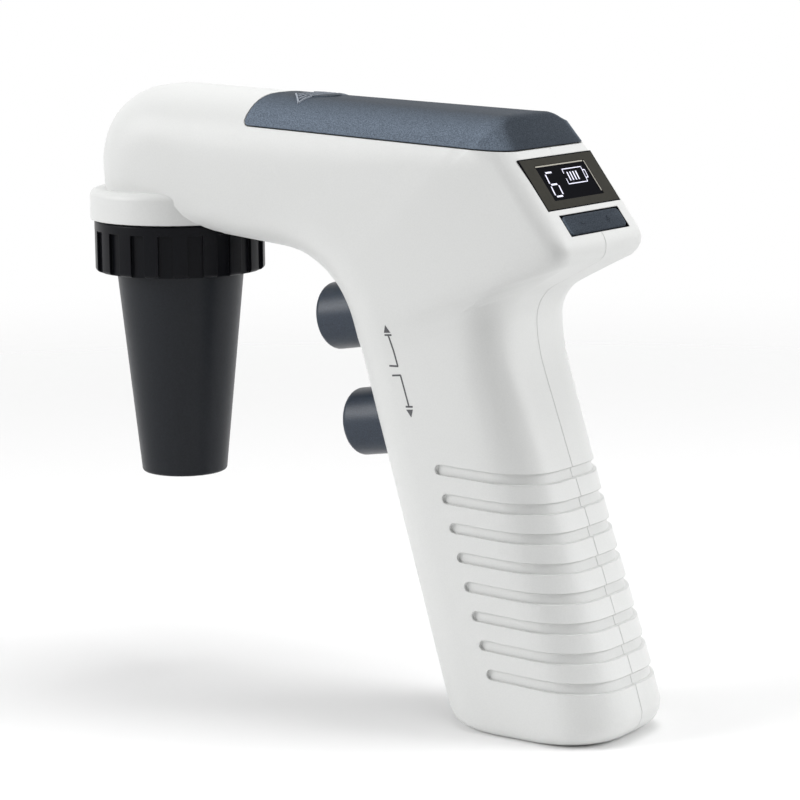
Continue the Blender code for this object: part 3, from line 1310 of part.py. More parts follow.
def make_pump(frames):
    """Motor in its cushion, open bracket, eccentric rotor and pump head."""
    pump = frames["pump"]
    shaft_start = MOTOR_LENGTH * 0.7
    bracket_top = BRACKET_START + BRACKET_LENGTH
    motor = add_part("pump_motor", rod_mesh(
        "pump_motor", MOTOR_RADIUS, 0.0, MOTOR_LENGTH, INNER_ROUND), pump, "steel")
    add_bevel(motor, PUMP_EDGE)
    shaft_bore = rod_mesh("shaft_bore", SHAFT_RADIUS + GAP, shaft_start - GAP,
                          bracket_top - BRACKET_WALL / 2.0 + GAP, SMALL_ROUND)
    bore = add_cutter("shaft_bore", shaft_bore, pump)
    combine(motor, bore)
    cushion_start = MOTOR_LENGTH * 0.15
    add_part("motor_cushion", turned_mesh("motor_cushion", [
        (MOTOR_RADIUS + GAP, cushion_start + CUSHION_LENGTH),
        (CUSHION_RADIUS, cushion_start + CUSHION_LENGTH),
        (CUSHION_RADIUS, cushion_start),
        (MOTOR_RADIUS + GAP, cushion_start),
    ], INNER_ROUND), pump, "silicone")

    half = PUMP_WIDTH / 2.0
    bracket = add_part("pump_bracket", box_mesh(
        "pump_bracket", (-half, -half, BRACKET_START), (half, half, bracket_top)),
        pump, "plastic")
    combine(bracket, add_cutter("bracket_window", box_mesh(
        "bracket_window",
        (-2.0 * half, BRACKET_WALL - half, BRACKET_START + BRACKET_WALL),
        (2.0 * half, half - BRACKET_WALL, bracket_top - BRACKET_WALL),
    ), pump))
    combine(bracket, bore)

    cam_start = BRACKET_START + BRACKET_WALL + 2.0 * GAP
    cam_end = bracket_top - BRACKET_WALL - 2.0 * GAP
    rotor = add_part("pump_rotor", rod_mesh(
        "pump_rotor", SHAFT_RADIUS, shaft_start, bracket_top - BRACKET_WALL / 2.0,
        SMALL_ROUND), pump, "brass")
    cam = rod_mesh("eccentric", ECCENTRIC_RADIUS, cam_start, cam_end, SMALL_ROUND)
    combine(rotor, add_cutter("eccentric", cam, pump, (ECCENTRIC_THROW, 0.0, 0.0)), "UNION")

    head = add_part("pump_head", box_mesh(
        "pump_head", (-half, -half, PUMP_HEAD_START), (half, half, PUMP_HEAD_END)),
        pump, "plastic")
    add_bevel(head, PUMP_EDGE)
    for name, y in (("pressure", PORT_SPACING), ("suction", -PORT_SPACING)):
        nipple = rod_mesh("pump_port", NIPPLE_RADIUS, PUMP_HEAD_END - WALL,
                          PUMP_HEAD_END + NIPPLE_LENGTH, SMALL_ROUND)
        combine(head, add_cutter(name + "_pump_port", nipple, pump, (0.0, y, 0.0)), "UNION")
        hole = rod_mesh("pump_port_bore", PORT_BORE, PUMP_HEAD_END - WALL,
                        PUMP_HEAD_END + 2.0 * NIPPLE_LENGTH, SMALL_ROUND // 2)
        combine(head, add_cutter(name + "_pump_port_bore", hole, pump, (0.0, y, 0.0)))


def in_nose_frame(frame, place):
    """A place in a frame's own coordinates, in those of the nose."""
    point = Vector(place)
    while frame.name != "nose":
        turn = Matrix.Rotation(frame.rotation_euler.y, 3, "Y")
        point = Vector(frame.location) + turn @ point
        frame = frame.parent
    return point


def make_hoses(frames):
    """Hoses from the spigot and from the pump head to the ports of the valve block."""
    nose = frames["nose"]
    upper = frames["upper_trigger"]
    pump = frames["pump"]
    port = -BLOCK_MARGIN
    knots = [(0.0, 0.0, SPIGOT_TOP + GAP), (0.0, 0.0, SPIGOT_TOP + NIPPLE_LENGTH + MM)]
    knots += [(x, 0.0, z) for x, z in NOSE_TUBE_ROUTE]
    knots += [
        in_nose_frame(upper, (port - NIPPLE_LENGTH - MM, 0.0, BLOCK_PORT)),
        in_nose_frame(upper, (port - GAP, 0.0, BLOCK_PORT)),
    ]
    add_part("nose_tube", swept_mesh(
        "nose_tube", hose_route(knots, 3 * len(knots) // 2), TUBE_RADIUS, TUBE_WALL),
        nose, "tubing")
    port = TRIGGER_SPACING + BLOCK_MARGIN
    for name, y in (("pressure_tube", PORT_SPACING), ("suction_tube", -PORT_SPACING)):
        knots = [
            in_nose_frame(upper, (port + GAP, y, BLOCK_PORT)),
            in_nose_frame(upper, (port + NIPPLE_LENGTH, y, BLOCK_PORT)),
            in_nose_frame(pump, (0.0, y, PUMP_HEAD_END + NIPPLE_LENGTH)),
            in_nose_frame(pump, (0.0, y, PUMP_HEAD_END + GAP)),
        ]
        add_part(name, swept_mesh(name, hose_route(knots, 3), TUBE_RADIUS, TUBE_WALL),
                 nose, "tubing")


# Battery, tray and control board


def make_battery(frames):
    """The tray under the cover, the pack in it, its connector and the board below."""
    arm = frames["arm"]
    floor_top = TRAY_WALL - TRAY_FLOOR_DEPTH
    wall_top = -GAP
    tray = add_part("battery_tray", wide_box(
        "battery_tray", TRAY_START, -TRAY_FLOOR_DEPTH, TRAY_END, floor_top,
        TRAY_FLOOR_HALF_WIDTH), arm, "plastic")
    outside = BATTERY_ROOM + TRAY_WALL
    for name, side in (("left", -1.0), ("right", 1.0)):
        low, high = sorted((side * BATTERY_ROOM, side * outside))
        wall = box_mesh("tray_wall", (TRAY_START, low, floor_top - TRAY_WALL / 2.0),
                        (TRAY_END, high, wall_top))
        combine(tray, add_cutter("tray_wall_" + name, wall, arm), "UNION")
        post = box_mesh("tray_post", (TRAY_RAIL_START, low, wall_top - TRAY_WALL),
                        (TRAY_END, high, TRAY_RAIL_Z + TRAY_RAIL_THICKNESS))
        combine(tray, add_cutter("tray_post_" + name, post, arm), "UNION")
        low, high = sorted((side * (BATTERY_ROOM + TRAY_WALL / 2.0),
                            side * TRAY_RAIL_HALF_WIDTH))
        rail = box_mesh("tray_rail", (TRAY_RAIL_START, low, TRAY_RAIL_Z),
                        (TRAY_END, high, TRAY_RAIL_Z + TRAY_RAIL_THICKNESS))
        combine(tray, add_cutter("tray_rail_" + name, rail, arm), "UNION")
    board_end = CONTROL_BOARD_START + CONTROL_BOARD_LENGTH
    foot_y = CONTROL_BOARD_HALF_WIDTH - 2.0 * FOOT_RADIUS
    board_top = -TRAY_FLOOR_DEPTH - FOOT_LENGTH - GAP
    feet = (
        (CONTROL_BOARD_START + 2.0 * FOOT_RADIUS, -foot_y),
        (CONTROL_BOARD_START + 2.0 * FOOT_RADIUS, foot_y),
        (board_end - 2.0 * FOOT_RADIUS, -foot_y),
        (board_end - 2.0 * FOOT_RADIUS, foot_y),
    )
    for i, (x, y) in enumerate(feet):
        foot = rod_mesh("tray_foot", FOOT_RADIUS, -TRAY_FLOOR_DEPTH - FOOT_LENGTH,
                        floor_top - TRAY_WALL / 2.0, SMALL_ROUND // 2)
        combine(tray, add_cutter("tray_foot_" + str(i + 1), foot, arm, (x, y, 0.0)), "UNION")
    add_part("control_board", wide_box(
        "control_board", CONTROL_BOARD_START, board_top - BOARD_THICKNESS, board_end,
        board_top, CONTROL_BOARD_HALF_WIDTH), arm, "board")

    battery_start = TRAY_START + BATTERY_MARGIN
    battery_low = floor_top + GAP
    battery = add_part("battery_pack", wide_box(
        "battery_pack", battery_start, battery_low, battery_start + BATTERY_LENGTH,
        battery_low + BATTERY_HEIGHT, BATTERY_HALF_WIDTH), arm, "cell")
    add_bevel(battery, BATTERY_EDGE, 3)
    connector_start = battery_start + BATTERY_LENGTH + GAP
    connector = add_part("battery_connector", wide_box(
        "battery_connector", connector_start, battery_low,
        connector_start + CONNECTOR_LENGTH, battery_low + BATTERY_HEIGHT * 0.6,
        BATTERY_HALF_WIDTH * 0.6), arm, "plastic")
    add_bevel(connector, TRAY_WALL / 2.0, 1)


# Screws and charging socket


def make_fasteners(frames):
    nose = frames["nose"]
    for i, (x, z) in enumerate(SCREW_PLACES):
        name = "shell_screw_" + str(i + 1)
        screw = add_part(name, across_rod(
            name, x, z, SCREW_HEAD_RADIUS, SCREW_HEAD_SEAT,
            SCREW_HEAD_SEAT + SCREW_HEAD_HEIGHT), nose, "steel")
        shank = across_rod("screw_shank", x, z, SCREW_RADIUS, SCREW_HEAD_SEAT - SCREW_LENGTH,
                           SCREW_HEAD_SEAT + SCREW_HEAD_HEIGHT / 2.0)
        combine(screw, add_cutter("screw_shank_" + str(i + 1), shank, nose), "UNION")
        key = across_rod("screw_key", x, z, SCREW_RADIUS,
                         SCREW_HEAD_SEAT + SCREW_HEAD_HEIGHT / 2.0,
                         SCREW_HEAD_SEAT + 2.0 * SCREW_HEAD_HEIGHT, 6)
        combine(screw, add_cutter("screw_key_" + str(i + 1), key, nose))


def make_socket(frames):
    """A round charging socket with a centre pin, captured by its flange above the foot."""
    flange_z = WALL + GAP
    add_part("charging_socket", turned_mesh("charging_socket", [
        (0.0, SOCKET_LENGTH),
        (SOCKET_RADIUS, SOCKET_LENGTH),
        (SOCKET_RADIUS, flange_z + SOCKET_FLANGE),
        (SOCKET_RADIUS + SOCKET_FLANGE, flange_z + SOCKET_FLANGE),
        (SOCKET_RADIUS + SOCKET_FLANGE, flange_z),
        (SOCKET_RADIUS, flange_z),
        (SOCKET_RADIUS, GAP),
        (SOCKET_BORE, GAP),
        (SOCKET_BORE, SOCKET_LENGTH - SOCKET_FLANGE),
        (SOCKET_PIN, SOCKET_LENGTH - SOCKET_FLANGE),
        (SOCKET_PIN, SOCKET_FLANGE),
        (0.0, SOCKET_FLANGE),
    ], SMALL_ROUND), frames["nose"], "plastic", (SOCKET_X, 0.0, BASE_Z))


# The whole pipette


def make_frames():
    """The root and the frames that the pieces are placed in."""
    rear = max(point.x for point in Outline(upper_outline(), 1.0).points)
    root = add_frame("pipette_controller", ((COLLAR_RADIUS - rear) / 2.0, 0.0, -BASE_Z), 0.0, None)
    nose = add_frame("nose", (0.0, 0.0, 0.0), 0.0, root)
    press = math.radians(90.0) - TRIGGER_TILT
    upper = add_frame("upper_trigger", (TRIGGER_X, 0.0, TRIGGER_Z), press, nose)
    return {
        "nose": nose,
        "arm": add_frame("arm", (COVER_FRONT_X, 0.0, COVER_FRONT_Z), ARM_SLOPE, nose),
        "display": add_frame(
            "display", (DISPLAY_TOP_X, 0.0, top_line(DISPLAY_TOP_X)), DISPLAY_SLOPE, nose),
        "upper_trigger": upper,
        "lower_trigger": add_frame(
            "lower_trigger", (TRIGGER_SPACING, 0.0, TRIGGER_SETBACK), 0.0, upper),
        "pump": add_frame("pump", (MOTOR_X, 0.0, MOTOR_Z), -PUMP_LEAN, nose),
    }


def make_pipette():
    frames = make_frames()
    make_shells(frames)
    make_cover(frames)
    make_display(frames)
    make_trigger("aspirate", frames["upper_trigger"])
    make_trigger("dispense", frames["lower_trigger"])
    make_valve_block(frames)
    make_nose(frames)
    make_pump(frames)
    make_hoses(frames)
    make_battery(frames)
    make_fasteners(frames)
    make_socket(frames)


clear_scene()
PARTS = add_collection("pipette_controller")
CUTTERS = add_collection("cutters")
make_pipette()
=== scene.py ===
"""Looks of the electronic pipette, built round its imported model.

Units are metres. The housing is lofted again with finer sections, in the frame of the nose:
x = 0, y = 0 is the nosepiece's axis and z = 0 lies just above the collar's joint face. Rounding,
elbow, underside, display and the cover's front were measured again and differ from the solids.
WEB_X, BACK_LEAN and BASE_Z keep the solids' values, because REAR places everything by them.
"""

import math

import bmesh
import bpy
from mathutils import Matrix, Vector
from mathutils.bvhtree import BVHTree


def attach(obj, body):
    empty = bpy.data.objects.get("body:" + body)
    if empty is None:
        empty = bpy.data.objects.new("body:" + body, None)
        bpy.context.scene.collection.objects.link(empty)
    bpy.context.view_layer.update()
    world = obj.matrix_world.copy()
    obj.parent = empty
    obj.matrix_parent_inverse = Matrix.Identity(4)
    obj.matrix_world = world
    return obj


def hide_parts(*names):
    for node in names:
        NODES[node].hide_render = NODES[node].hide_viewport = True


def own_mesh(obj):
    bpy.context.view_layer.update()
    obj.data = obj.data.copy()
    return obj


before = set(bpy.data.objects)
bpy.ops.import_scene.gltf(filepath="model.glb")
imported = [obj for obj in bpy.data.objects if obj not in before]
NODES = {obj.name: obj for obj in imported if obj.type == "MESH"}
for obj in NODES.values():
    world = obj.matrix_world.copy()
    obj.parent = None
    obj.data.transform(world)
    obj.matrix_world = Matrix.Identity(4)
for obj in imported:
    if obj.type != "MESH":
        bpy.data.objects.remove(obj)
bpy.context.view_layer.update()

MM = 0.001
WALL = 2.2 * MM
GAP = 0.3 * MM
SEAM_GAP = 0.12 * MM

# Housing: collar, head and arm
COLLAR_RADIUS = 22.0 * MM
COLLAR_BOTTOM = -1.8 * MM
COLLAR_TOP = 5.7 * MM
COLLAR_EDGE = 1.2 * MM
HEAD_RADIUS = 18.0 * MM
HEAD_DOME = 20.0 * MM
ARM_TOP = 31.5 * MM
ARM_SLOPE = math.radians(2.36)
ARM_ROUND_FRONT = 16.0 * MM
ARM_ROUND_REAR = 14.0 * MM
ARM_POWER_FRONT = 2.3
ARM_POWER_REAR = 2.6
ARM_REAR_HALF_WIDTH = 19.2 * MM
UNDERSIDE = -3.9 * MM
UNDERSIDE_SLOPE = math.radians(6.2)
ELBOW_RADIUS = 25.0 * MM

# Housing: display end
DISPLAY_TOP_X = 103.2 * MM
DISPLAY_SLOPE = math.radians(53.37)
DISPLAY_LENGTH = 37.66 * MM
DISPLAY_EDGE = 2.6 * MM
DISPLAY_SIDE = 4.2 * MM
POD_CORNER = 4.2 * MM
POD_UNDER_SLOPE = math.radians(28.3)

# Housing: handle
WEB_X = 105.2 * MM
WEB_RADIUS = 9.0 * MM
BACK_Z = -25.0 * MM
BACK_RADIUS = 35.0 * MM
BACK_LEAN = math.radians(19.2)
FRONT_X = 62.0 * MM
FRONT_Z = -27.9 * MM
FRONT_LEAN = math.radians(16.6)
BASE_Z = -114.1 * MM
BASE_FRONT_RADIUS = 6.5 * MM
BASE_REAR_RADIUS = 6.5 * MM
BASE_EDGE = 2.6 * MM
HANDLE_HALF_WIDTH = 18.0 * MM
HANDLE_STRAIGHT_Z = -68.0 * MM
LEAST_HALF_WIDTH = 0.4 * MM
FOOT_LIFT = 0.0005 * MM  # keeps the last level off the outline's own end

# Grip grooves
GROOVE_COUNT = 8
GROOVE_PITCH = 6.6 * MM
GROOVE_HEIGHT = 2.4 * MM
GROOVE_DEPTH = 0.8 * MM
GROOVE_REACH = 70.0 * MM
GROOVE_FIRST_X = 90.3 * MM
GROOVE_FIRST_Z = -53.2 * MM
GROOVE_STAGGER = 2.0 * MM
GROOVE_TILT = math.radians(2.0)

# Battery cover
COVER_FRONT_X = 33.2 * MM
COVER_FRONT_Z = 22.9 * MM
COVER_CORNER = 1.8 * MM
PAD_X = 11.2 * MM
PAD_LENGTH = 9.2 * MM
PAD_WIDTH = 11.0 * MM
PAD_PROUD = 0.25 * MM
GRIP_PROUD = 0.35 * MM
GRIP_BAR = 0.3

# Display window and speed rocker, along the display slope from its top
WINDOW_START = 11.65 * MM
WINDOW_LENGTH = 13.1 * MM
WINDOW_HALF_WIDTH = 15.0 * MM
WINDOW_THICKNESS = 1.2 * MM
WINDOW_LEDGE = 1.6 * MM
LCD_START = 13.4 * MM
LCD_END = 22.7 * MM
LCD_HALF_WIDTH = 10.4 * MM
LCD_SUNK = 0.18 * MM
ROCKER_START = 26.7 * MM
ROCKER_LENGTH = 5.0 * MM
ROCKER_HALF_WIDTH = 12.0 * MM
ROCKER_PROUD = 0.2 * MM
ROCKER_THICKNESS = 2.2 * MM
ROCKER_SIDE_GAP = 0.4 * MM
ROCKER_CORNER = 1.5 * MM
ROCKER_SIGN_Y = 5.4 * MM
SEAM_STRIP_START = 9.62 * MM
FRAME_CLEARANCE = 0.02 * MM
SIGN_SLANT = -0.16
SIGN_HEIGHT = 0.02 * MM

# Triggers
TRIGGER_RADIUS = 8.1 * MM
TRIGGER_X = 47.6 * MM
TRIGGER_Z = -23.1 * MM
TRIGGER_SPACING = 25.9 * MM
TRIGGER_SETBACK = 3.5 * MM
TRIGGER_TILT = math.radians(9.0)
TRIGGER_LENGTH = 18.0 * MM
TRIGGER_FLANGE = 1.3 * MM
TRIGGER_FLANGE_THICKNESS = 2.0 * MM
TRIGGER_EDGE = 1.0 * MM
TRIGGER_FACE = 5.0 * MM
SPRING_RADIUS = 4.0 * MM
SPRING_WIRE = 0.45 * MM
SPRING_TURNS = 5
SPRING_TURN_STEPS = 24
SPRING_SIDES = 10
SPRING_END_CLOSING = 0.05
BLOCK_START = 28.0 * MM
BLOCK_LENGTH = 17.0 * MM
BLOCK_HALF_WIDTH = 10.5 * MM
BLOCK_MARGIN = 8.0 * MM

# Nosepiece
RING_RADIUS = 21.1 * MM
RING_HEIGHT = 12.7 * MM
RING_BAND = 2.4 * MM
RING_BORE = 14.2 * MM
FLUTE_COUNT = 18
FLUTE_WIDTH = 3.7 * MM
FLUTE_DEPTH = 1.0 * MM
CONE_TOP_RADIUS = 15.8 * MM
CONE_TIP_RADIUS = 10.6 * MM
CONE_LENGTH = 50.9 * MM
CONE_WALL = 2.3 * MM
RING_EDGE = 1.0 * MM
TIP_EDGE = 0.8 * MM
SPIGOT_RADIUS = 13.2 * MM

# Screw wells and charging socket
SCREW_PLACES = (
    (34.3 * MM, 12.7 * MM),
    (97.0 * MM, 1.4 * MM),
    (84.0 * MM, -60.0 * MM),
    (121.0 * MM, -105.0 * MM),
)
BOSS_REACHES = (16.7 * MM, 17.9 * MM, 16.7 * MM, 16.7 * MM)
BOSS_RADIUS = 4.0 * MM
SCREW_RADIUS = 1.1 * MM
SCREW_HEAD_RADIUS = 2.3 * MM
SCREW_HEAD_SEAT = 11.0 * MM
SCREW_LENGTH = 20.0 * MM
SOCKET_X = 99.0 * MM
SOCKET_RADIUS = 4.0 * MM

# Facets of the fine meshes
ROUND = 96
SMALL_ROUND = 32
OVAL_STEPS = 64
ARC_STEPS = 36
FINE = 3
SMOOTH_PASSES = 10
FORM_SHARP = math.radians(30.0)
CARVED_SHARP = math.radians(28.0)

RING_TOP = COLLAR_BOTTOM - GAP
RING_BOTTOM = RING_TOP - RING_HEIGHT
TIP_Z = RING_BOTTOM - CONE_LENGTH
UP = Vector((0.0, 0.0, 1.0))


# Meshes


def finish_mesh(name, shape, smooth=True):
    bmesh.ops.recalc_face_normals(shape, faces=shape.faces)
    mesh = bpy.data.meshes.new(name)
    shape.to_mesh(mesh)
    shape.free()
    if smooth:
        mesh.shade_smooth()
        mesh.set_sharp_from_angle(angle=FORM_SHARP)
    return mesh


def placed(mesh, matrix):
    mesh.transform(matrix)
    return mesh


def box_shape(low, high):
    shape = bmesh.new()
    bmesh.ops.create_cube(shape, size=1.0)
    bmesh.ops.scale(shape, vec=Vector(high) - Vector(low), verts=shape.verts)
    bmesh.ops.translate(shape, vec=(Vector(low) + Vector(high)) / 2.0, verts=shape.verts)
    return shape


def box_mesh(low, high):
    return finish_mesh("box", box_shape(low, high), smooth=False)


def rod_mesh(radius, start, end, sides=ROUND):
    shape = bmesh.new()
    bmesh.ops.create_cone(shape, cap_ends=True, segments=sides, radius1=radius,
                          radius2=radius, depth=end - start)
    bmesh.ops.translate(shape, vec=(0.0, 0.0, (start + end) / 2.0), verts=shape.verts)
    return finish_mesh("rod", shape)


def across_rod(x, z, radius, start_y, end_y):
    """A cylinder along y."""
    turn = Matrix.Rotation(math.radians(-90.0), 4, "X")
    return placed(rod_mesh(radius, start_y, end_y, SMALL_ROUND),
                  Matrix.Translation((x, 0.0, z)) @ turn)


def add_skin(shape, rows):
    """Joins rings of points from row to row, and closes both ends."""
    rings = [[shape.verts.new(point) for point in row] for row in rows]
    for a, b in zip(rings, rings[1:]):
        for i in range(len(a)):
            j = (i + 1) % len(a)
            shape.faces.new((a[i], a[j], b[j], b[i]))
    shape.faces.new(list(reversed(rings[0])))
    shape.faces.new(rings[-1])


def skin_mesh(name, rows, smooth=True):
    shape = bmesh.new()
    add_skin(shape, rows)
    return finish_mesh(name, shape, smooth)


def prism_mesh(outline, start, end):
    """An outline of (x, y) points drawn out along z."""
    return skin_mesh("prism", [[(x, y, z) for x, y in outline] for z in (start, end)], False)


def turned_mesh(profile, sides=ROUND):
    """A closed profile of (radius, z) points turned about z, or one that ends on the axis."""
    shape = bmesh.new()
    rows = []
    for radius, z in profile:
        if radius == 0.0:
            rows.append([shape.verts.new((0.0, 0.0, z))] * sides)
            continue
        row = []
        for k in range(sides):
            angle = 2.0 * math.pi * k / sides
            row.append(shape.verts.new((radius * math.cos(angle), radius * math.sin(angle), z)))
        rows.append(row)
    pairs = list(zip(rows, rows[1:]))
    if profile[0][0] or profile[-1][0]:
        pairs.append((rows[-1], rows[0]))
    for a, b in pairs:
        for k in range(sides):
            j = (k + 1) % sides
            corners = []
            for corner in (a[k], a[j], b[j], b[k]):
                if corner not in corners:
                    corners.append(corner)
            if len(corners) > 2:
                shape.faces.new(corners)
    return finish_mesh("turned", shape)


def rounded(profile, radii, steps=5):
    """The profile with round corners: one radius for each of its points."""
    points = []
    count = len(profile)
    for i, (point, radius) in enumerate(zip(profile, radii)):
        corner = Vector(point)
        if radius == 0.0:
            points.append(tuple(corner))
            continue
        before = (Vector(profile[i - 1]) - corner).normalized()
        after = (Vector(profile[(i + 1) % count]) - corner).normalized()
        half = before.angle(after) / 2.0
        reach = radius / math.tan(half)
        centre = corner + (before + after).normalized() * radius / math.sin(half)
        start = corner + before * reach - centre
        end = corner + after * reach - centre
        for k in range(steps + 1):
            spoke = start.lerp(end, k / steps).normalized() * radius
            points.append(tuple(centre + spoke))
    return points


def carve(name, base, steps):
    """The base mesh after a run of Booleans, each an operation and a mesh in its frame."""
    holder = bpy.data.objects.new(name, base)
    bpy.context.scene.collection.objects.link(holder)
    helpers = [holder]
    for operation, mesh in steps:
        helper = bpy.data.objects.new(name + "_step", mesh)
        bpy.context.scene.collection.objects.link(helper)
        helpers.append(helper)
        step = holder.modifiers.new("step", "BOOLEAN")
        step.operation = operation
        step.solver = "EXACT"
        step.object = helper
    bpy.context.view_layer.update()
    graph = bpy.context.evaluated_depsgraph_get()
    mesh = bpy.data.meshes.new_from_object(holder.evaluated_get(graph))
    mesh.name = name
    for helper in helpers:
        bpy.data.objects.remove(helper, do_unlink=True)
    mesh.materials.clear()
    mesh.shade_smooth()
    mesh.set_sharp_from_angle(angle=CARVED_SHARP)
    return mesh


# The housing's outline in the plane of symmetry


def lines_meet(point, direction, other, other_direction):
    px, pz = point
    dx, dz = direction
    qx, qz = other
    ex, ez = other_direction
    along = ((qx - px) * ez - (qz - pz) * ex) / (dx * ez - dz * ex)
    return (px + along * dx, pz + along * dz)


class Outline:
    """Lines through corners (x, z, radius). Station i is the middle of corner i."""

    def __init__(self, corners, inward):
        self.points = []
        marks = []
        for i, (x, z, radius) in enumerate(corners):
            corner = Vector((x, z))
            if radius == 0.0:
                marks.append(len(self.points))
                self.points.append(corner)
                continue
            before = (corner - Vector(corners[i - 1][:2])).normalized()
            after = (Vector(corners[i + 1][:2]) - corner).normalized()
            turn = before.angle_signed(after)
            reach = radius * math.tan(abs(turn) / 2.0)
            start = corner - before * reach
            side = math.copysign(1.0, turn)
            centre = start + radius * side * Vector((before.y, -before.x))
            marks.append(len(self.points) + ARC_STEPS // 2)
            for k in range(ARC_STEPS + 1):
                angle = -turn * k / ARC_STEPS
                spoke = start - centre
                self.points.append(centre + Vector((
                    spoke.x * math.cos(angle) - spoke.y * math.sin(angle),
                    spoke.x * math.sin(angle) + spoke.y * math.cos(angle),
                )))
        self.lengths = [0.0]
        for a, b in zip(self.points, self.points[1:]):
            self.lengths.append(self.lengths[-1] + (b - a).length)
        self.marks = [self.lengths[k] for k in marks]
        self.normals = []
        for k in range(len(self.points)):
            ahead = self.points[min(k + 1, len(self.points) - 1)]
            behind = self.points[max(k - 1, 0)]
            run = (ahead - behind).normalized()
            self.normals.append(inward * Vector((run.y, -run.x)))

    def at(self, station, inset):
        """The outline's point at a station, moved inwards."""
        i = min(int(station), len(self.marks) - 2)
        length = self.marks[i] + (station - i) * (self.marks[i + 1] - self.marks[i])
        k = 0
        while k < len(self.lengths) - 2 and self.lengths[k + 1] < length:
            k += 1
        t = (length - self.lengths[k]) / (self.lengths[k + 1] - self.lengths[k])
        point = self.points[k].lerp(self.points[k + 1], t)
        return point + inset * self.normals[k].lerp(self.normals[k + 1], t).normalized()

    def at_height(self, z, inset):
        """The lowest crossing of a level by the outline moved inwards."""
        moved = [p + inset * n for p, n in zip(self.points, self.normals)]
        for a, b in reversed(list(zip(moved, moved[1:]))):
            if min(a.y, b.y) <= z <= max(a.y, b.y) and a.y != b.y:
                return a.lerp(b, (z - a.y) / (b.y - a.y))
        return moved[-1]


def top_line(x):
    return ARM_TOP - x * math.tan(ARM_SLOPE)


def front_foot_x():
    return FRONT_X + (FRONT_Z - BASE_Z) * math.tan(FRONT_LEAN)


def upper_outline():
    """Front of the head, dome, top, display slope, web, back of the handle and foot."""
    display_top = (DISPLAY_TOP_X, top_line(DISPLAY_TOP_X))
    display_end = (
        DISPLAY_TOP_X + DISPLAY_LENGTH * math.cos(DISPLAY_SLOPE),
        display_top[1] - DISPLAY_LENGTH * math.sin(DISPLAY_SLOPE),
    )
    web_z = display_end[1] - (display_end[0] - WEB_X) * math.tan(POD_UNDER_SLOPE)
    foot_x = WEB_X + (BACK_Z - BASE_Z) * math.tan(BACK_LEAN)
    return [
        (-HEAD_RADIUS, COLLAR_BOTTOM, 0.0),
        (-HEAD_RADIUS, top_line(-HEAD_RADIUS), HEAD_DOME),
        (*display_top, DISPLAY_EDGE),
        (*display_end, POD_CORNER),
        (WEB_X, web_z, WEB_RADIUS),
        (WEB_X, BACK_Z, BACK_RADIUS),
        (foot_x, BASE_Z, BASE_REAR_RADIUS),
        (foot_x / 2.0 + front_foot_x() / 2.0, BASE_Z, 0.0),
    ]


def lower_outline():
    """Behind the nose, underside of the arm, elbow, front of the handle and foot."""
    elbow = lines_meet(
        (HEAD_RADIUS, UNDERSIDE),
        (math.cos(UNDERSIDE_SLOPE), -math.sin(UNDERSIDE_SLOPE)),
        (FRONT_X, FRONT_Z),
        (math.sin(FRONT_LEAN), -math.cos(FRONT_LEAN)),
    )
    return [
        (HEAD_RADIUS, COLLAR_BOTTOM, 0.0),
        (HEAD_RADIUS, UNDERSIDE, 0.0),
        (*elbow, ELBOW_RADIUS),
        (front_foot_x(), BASE_Z, BASE_FRONT_RADIUS),
        (upper_outline()[-1][0], BASE_Z, 0.0),
    ]


# Key sections: stations on the lower and the upper outline, half width, reach and power of
# the lower rounding, reach and power of the upper rounding, and steps to the next key.
HEAD_KEYS = (
    (0.30, 0.00, HEAD_RADIUS, HEAD_RADIUS, 2.0, HEAD_RADIUS, 2.0, 1),
    (1.00, 0.42, HEAD_RADIUS, HEAD_RADIUS, 2.0, HEAD_RADIUS, 2.0, 8),
    (1.12, 1.27, HEAD_RADIUS, 12.5 * MM, 2.2, ARM_ROUND_FRONT, ARM_POWER_FRONT, 0),
)
BODY_KEYS = (
    (1.12, 1.27, HEAD_RADIUS, 12.5 * MM, 2.2, 0.0, 2.0, 3),
    (1.72, 1.60, 18.4 * MM, 14.0 * MM, 2.1, 0.0, 2.0, 3),
    (2.04, 1.97, ARM_REAR_HALF_WIDTH, 15.0 * MM, 2.0, 0.0, 2.0, 3),
    (2.08, 2.07, ARM_REAR_HALF_WIDTH, 15.0 * MM, 2.0, DISPLAY_SIDE, 2.0, 2),
    (2.13, 2.84, ARM_REAR_HALF_WIDTH, 14.5 * MM, 2.0, DISPLAY_SIDE, 2.0, 4),
    (2.16, 3.30, 18.8 * MM, 14.0 * MM, 2.0, 6.5 * MM, 2.0, 3),
    (2.19, 3.80, 18.4 * MM, 14.0 * MM, 2.0, 8.5 * MM, 2.1, 3),
    (2.22, 4.20, HANDLE_HALF_WIDTH, 13.5 * MM, 2.0, 10.5 * MM, 2.2, 2),
    (2.34, 4.95, HANDLE_HALF_WIDTH, 13.5 * MM, 2.0, 11.0 * MM, 2.3, 3),
)
HANDLE_KEY = (HANDLE_HALF_WIDTH, 13.5 * MM, 2.0, 14.0 * MM, 2.15)
REAR_STATIONS = (2, 6)
SPAN_SHARE = 0.8
SPAN_STEPS = 20
LOWER_STEPS = (0.0, 0.015, 0.05, 0.11, 0.20, 0.33, 0.50, 0.74, 1.0)
UPPER_STEPS = (0.0, 0.008, 0.025, 0.05, 0.08, 0.125, 0.18, 0.25, 0.33, 0.44, 0.56, 0.75, 0.94)


def corner_drop(depth, reach, power):
    """How far a rounding pulls the side in at a depth from its end."""
    if depth >= reach:
        return 0.0
    ratio = 1.0 - max(depth, 0.0) / reach
    return reach * (1.0 - (1.0 - ratio ** power) ** (1.0 / power))


def blend_keys(a, b, t):
    return [p + (q - p) * t for p, q in zip(a, b)]


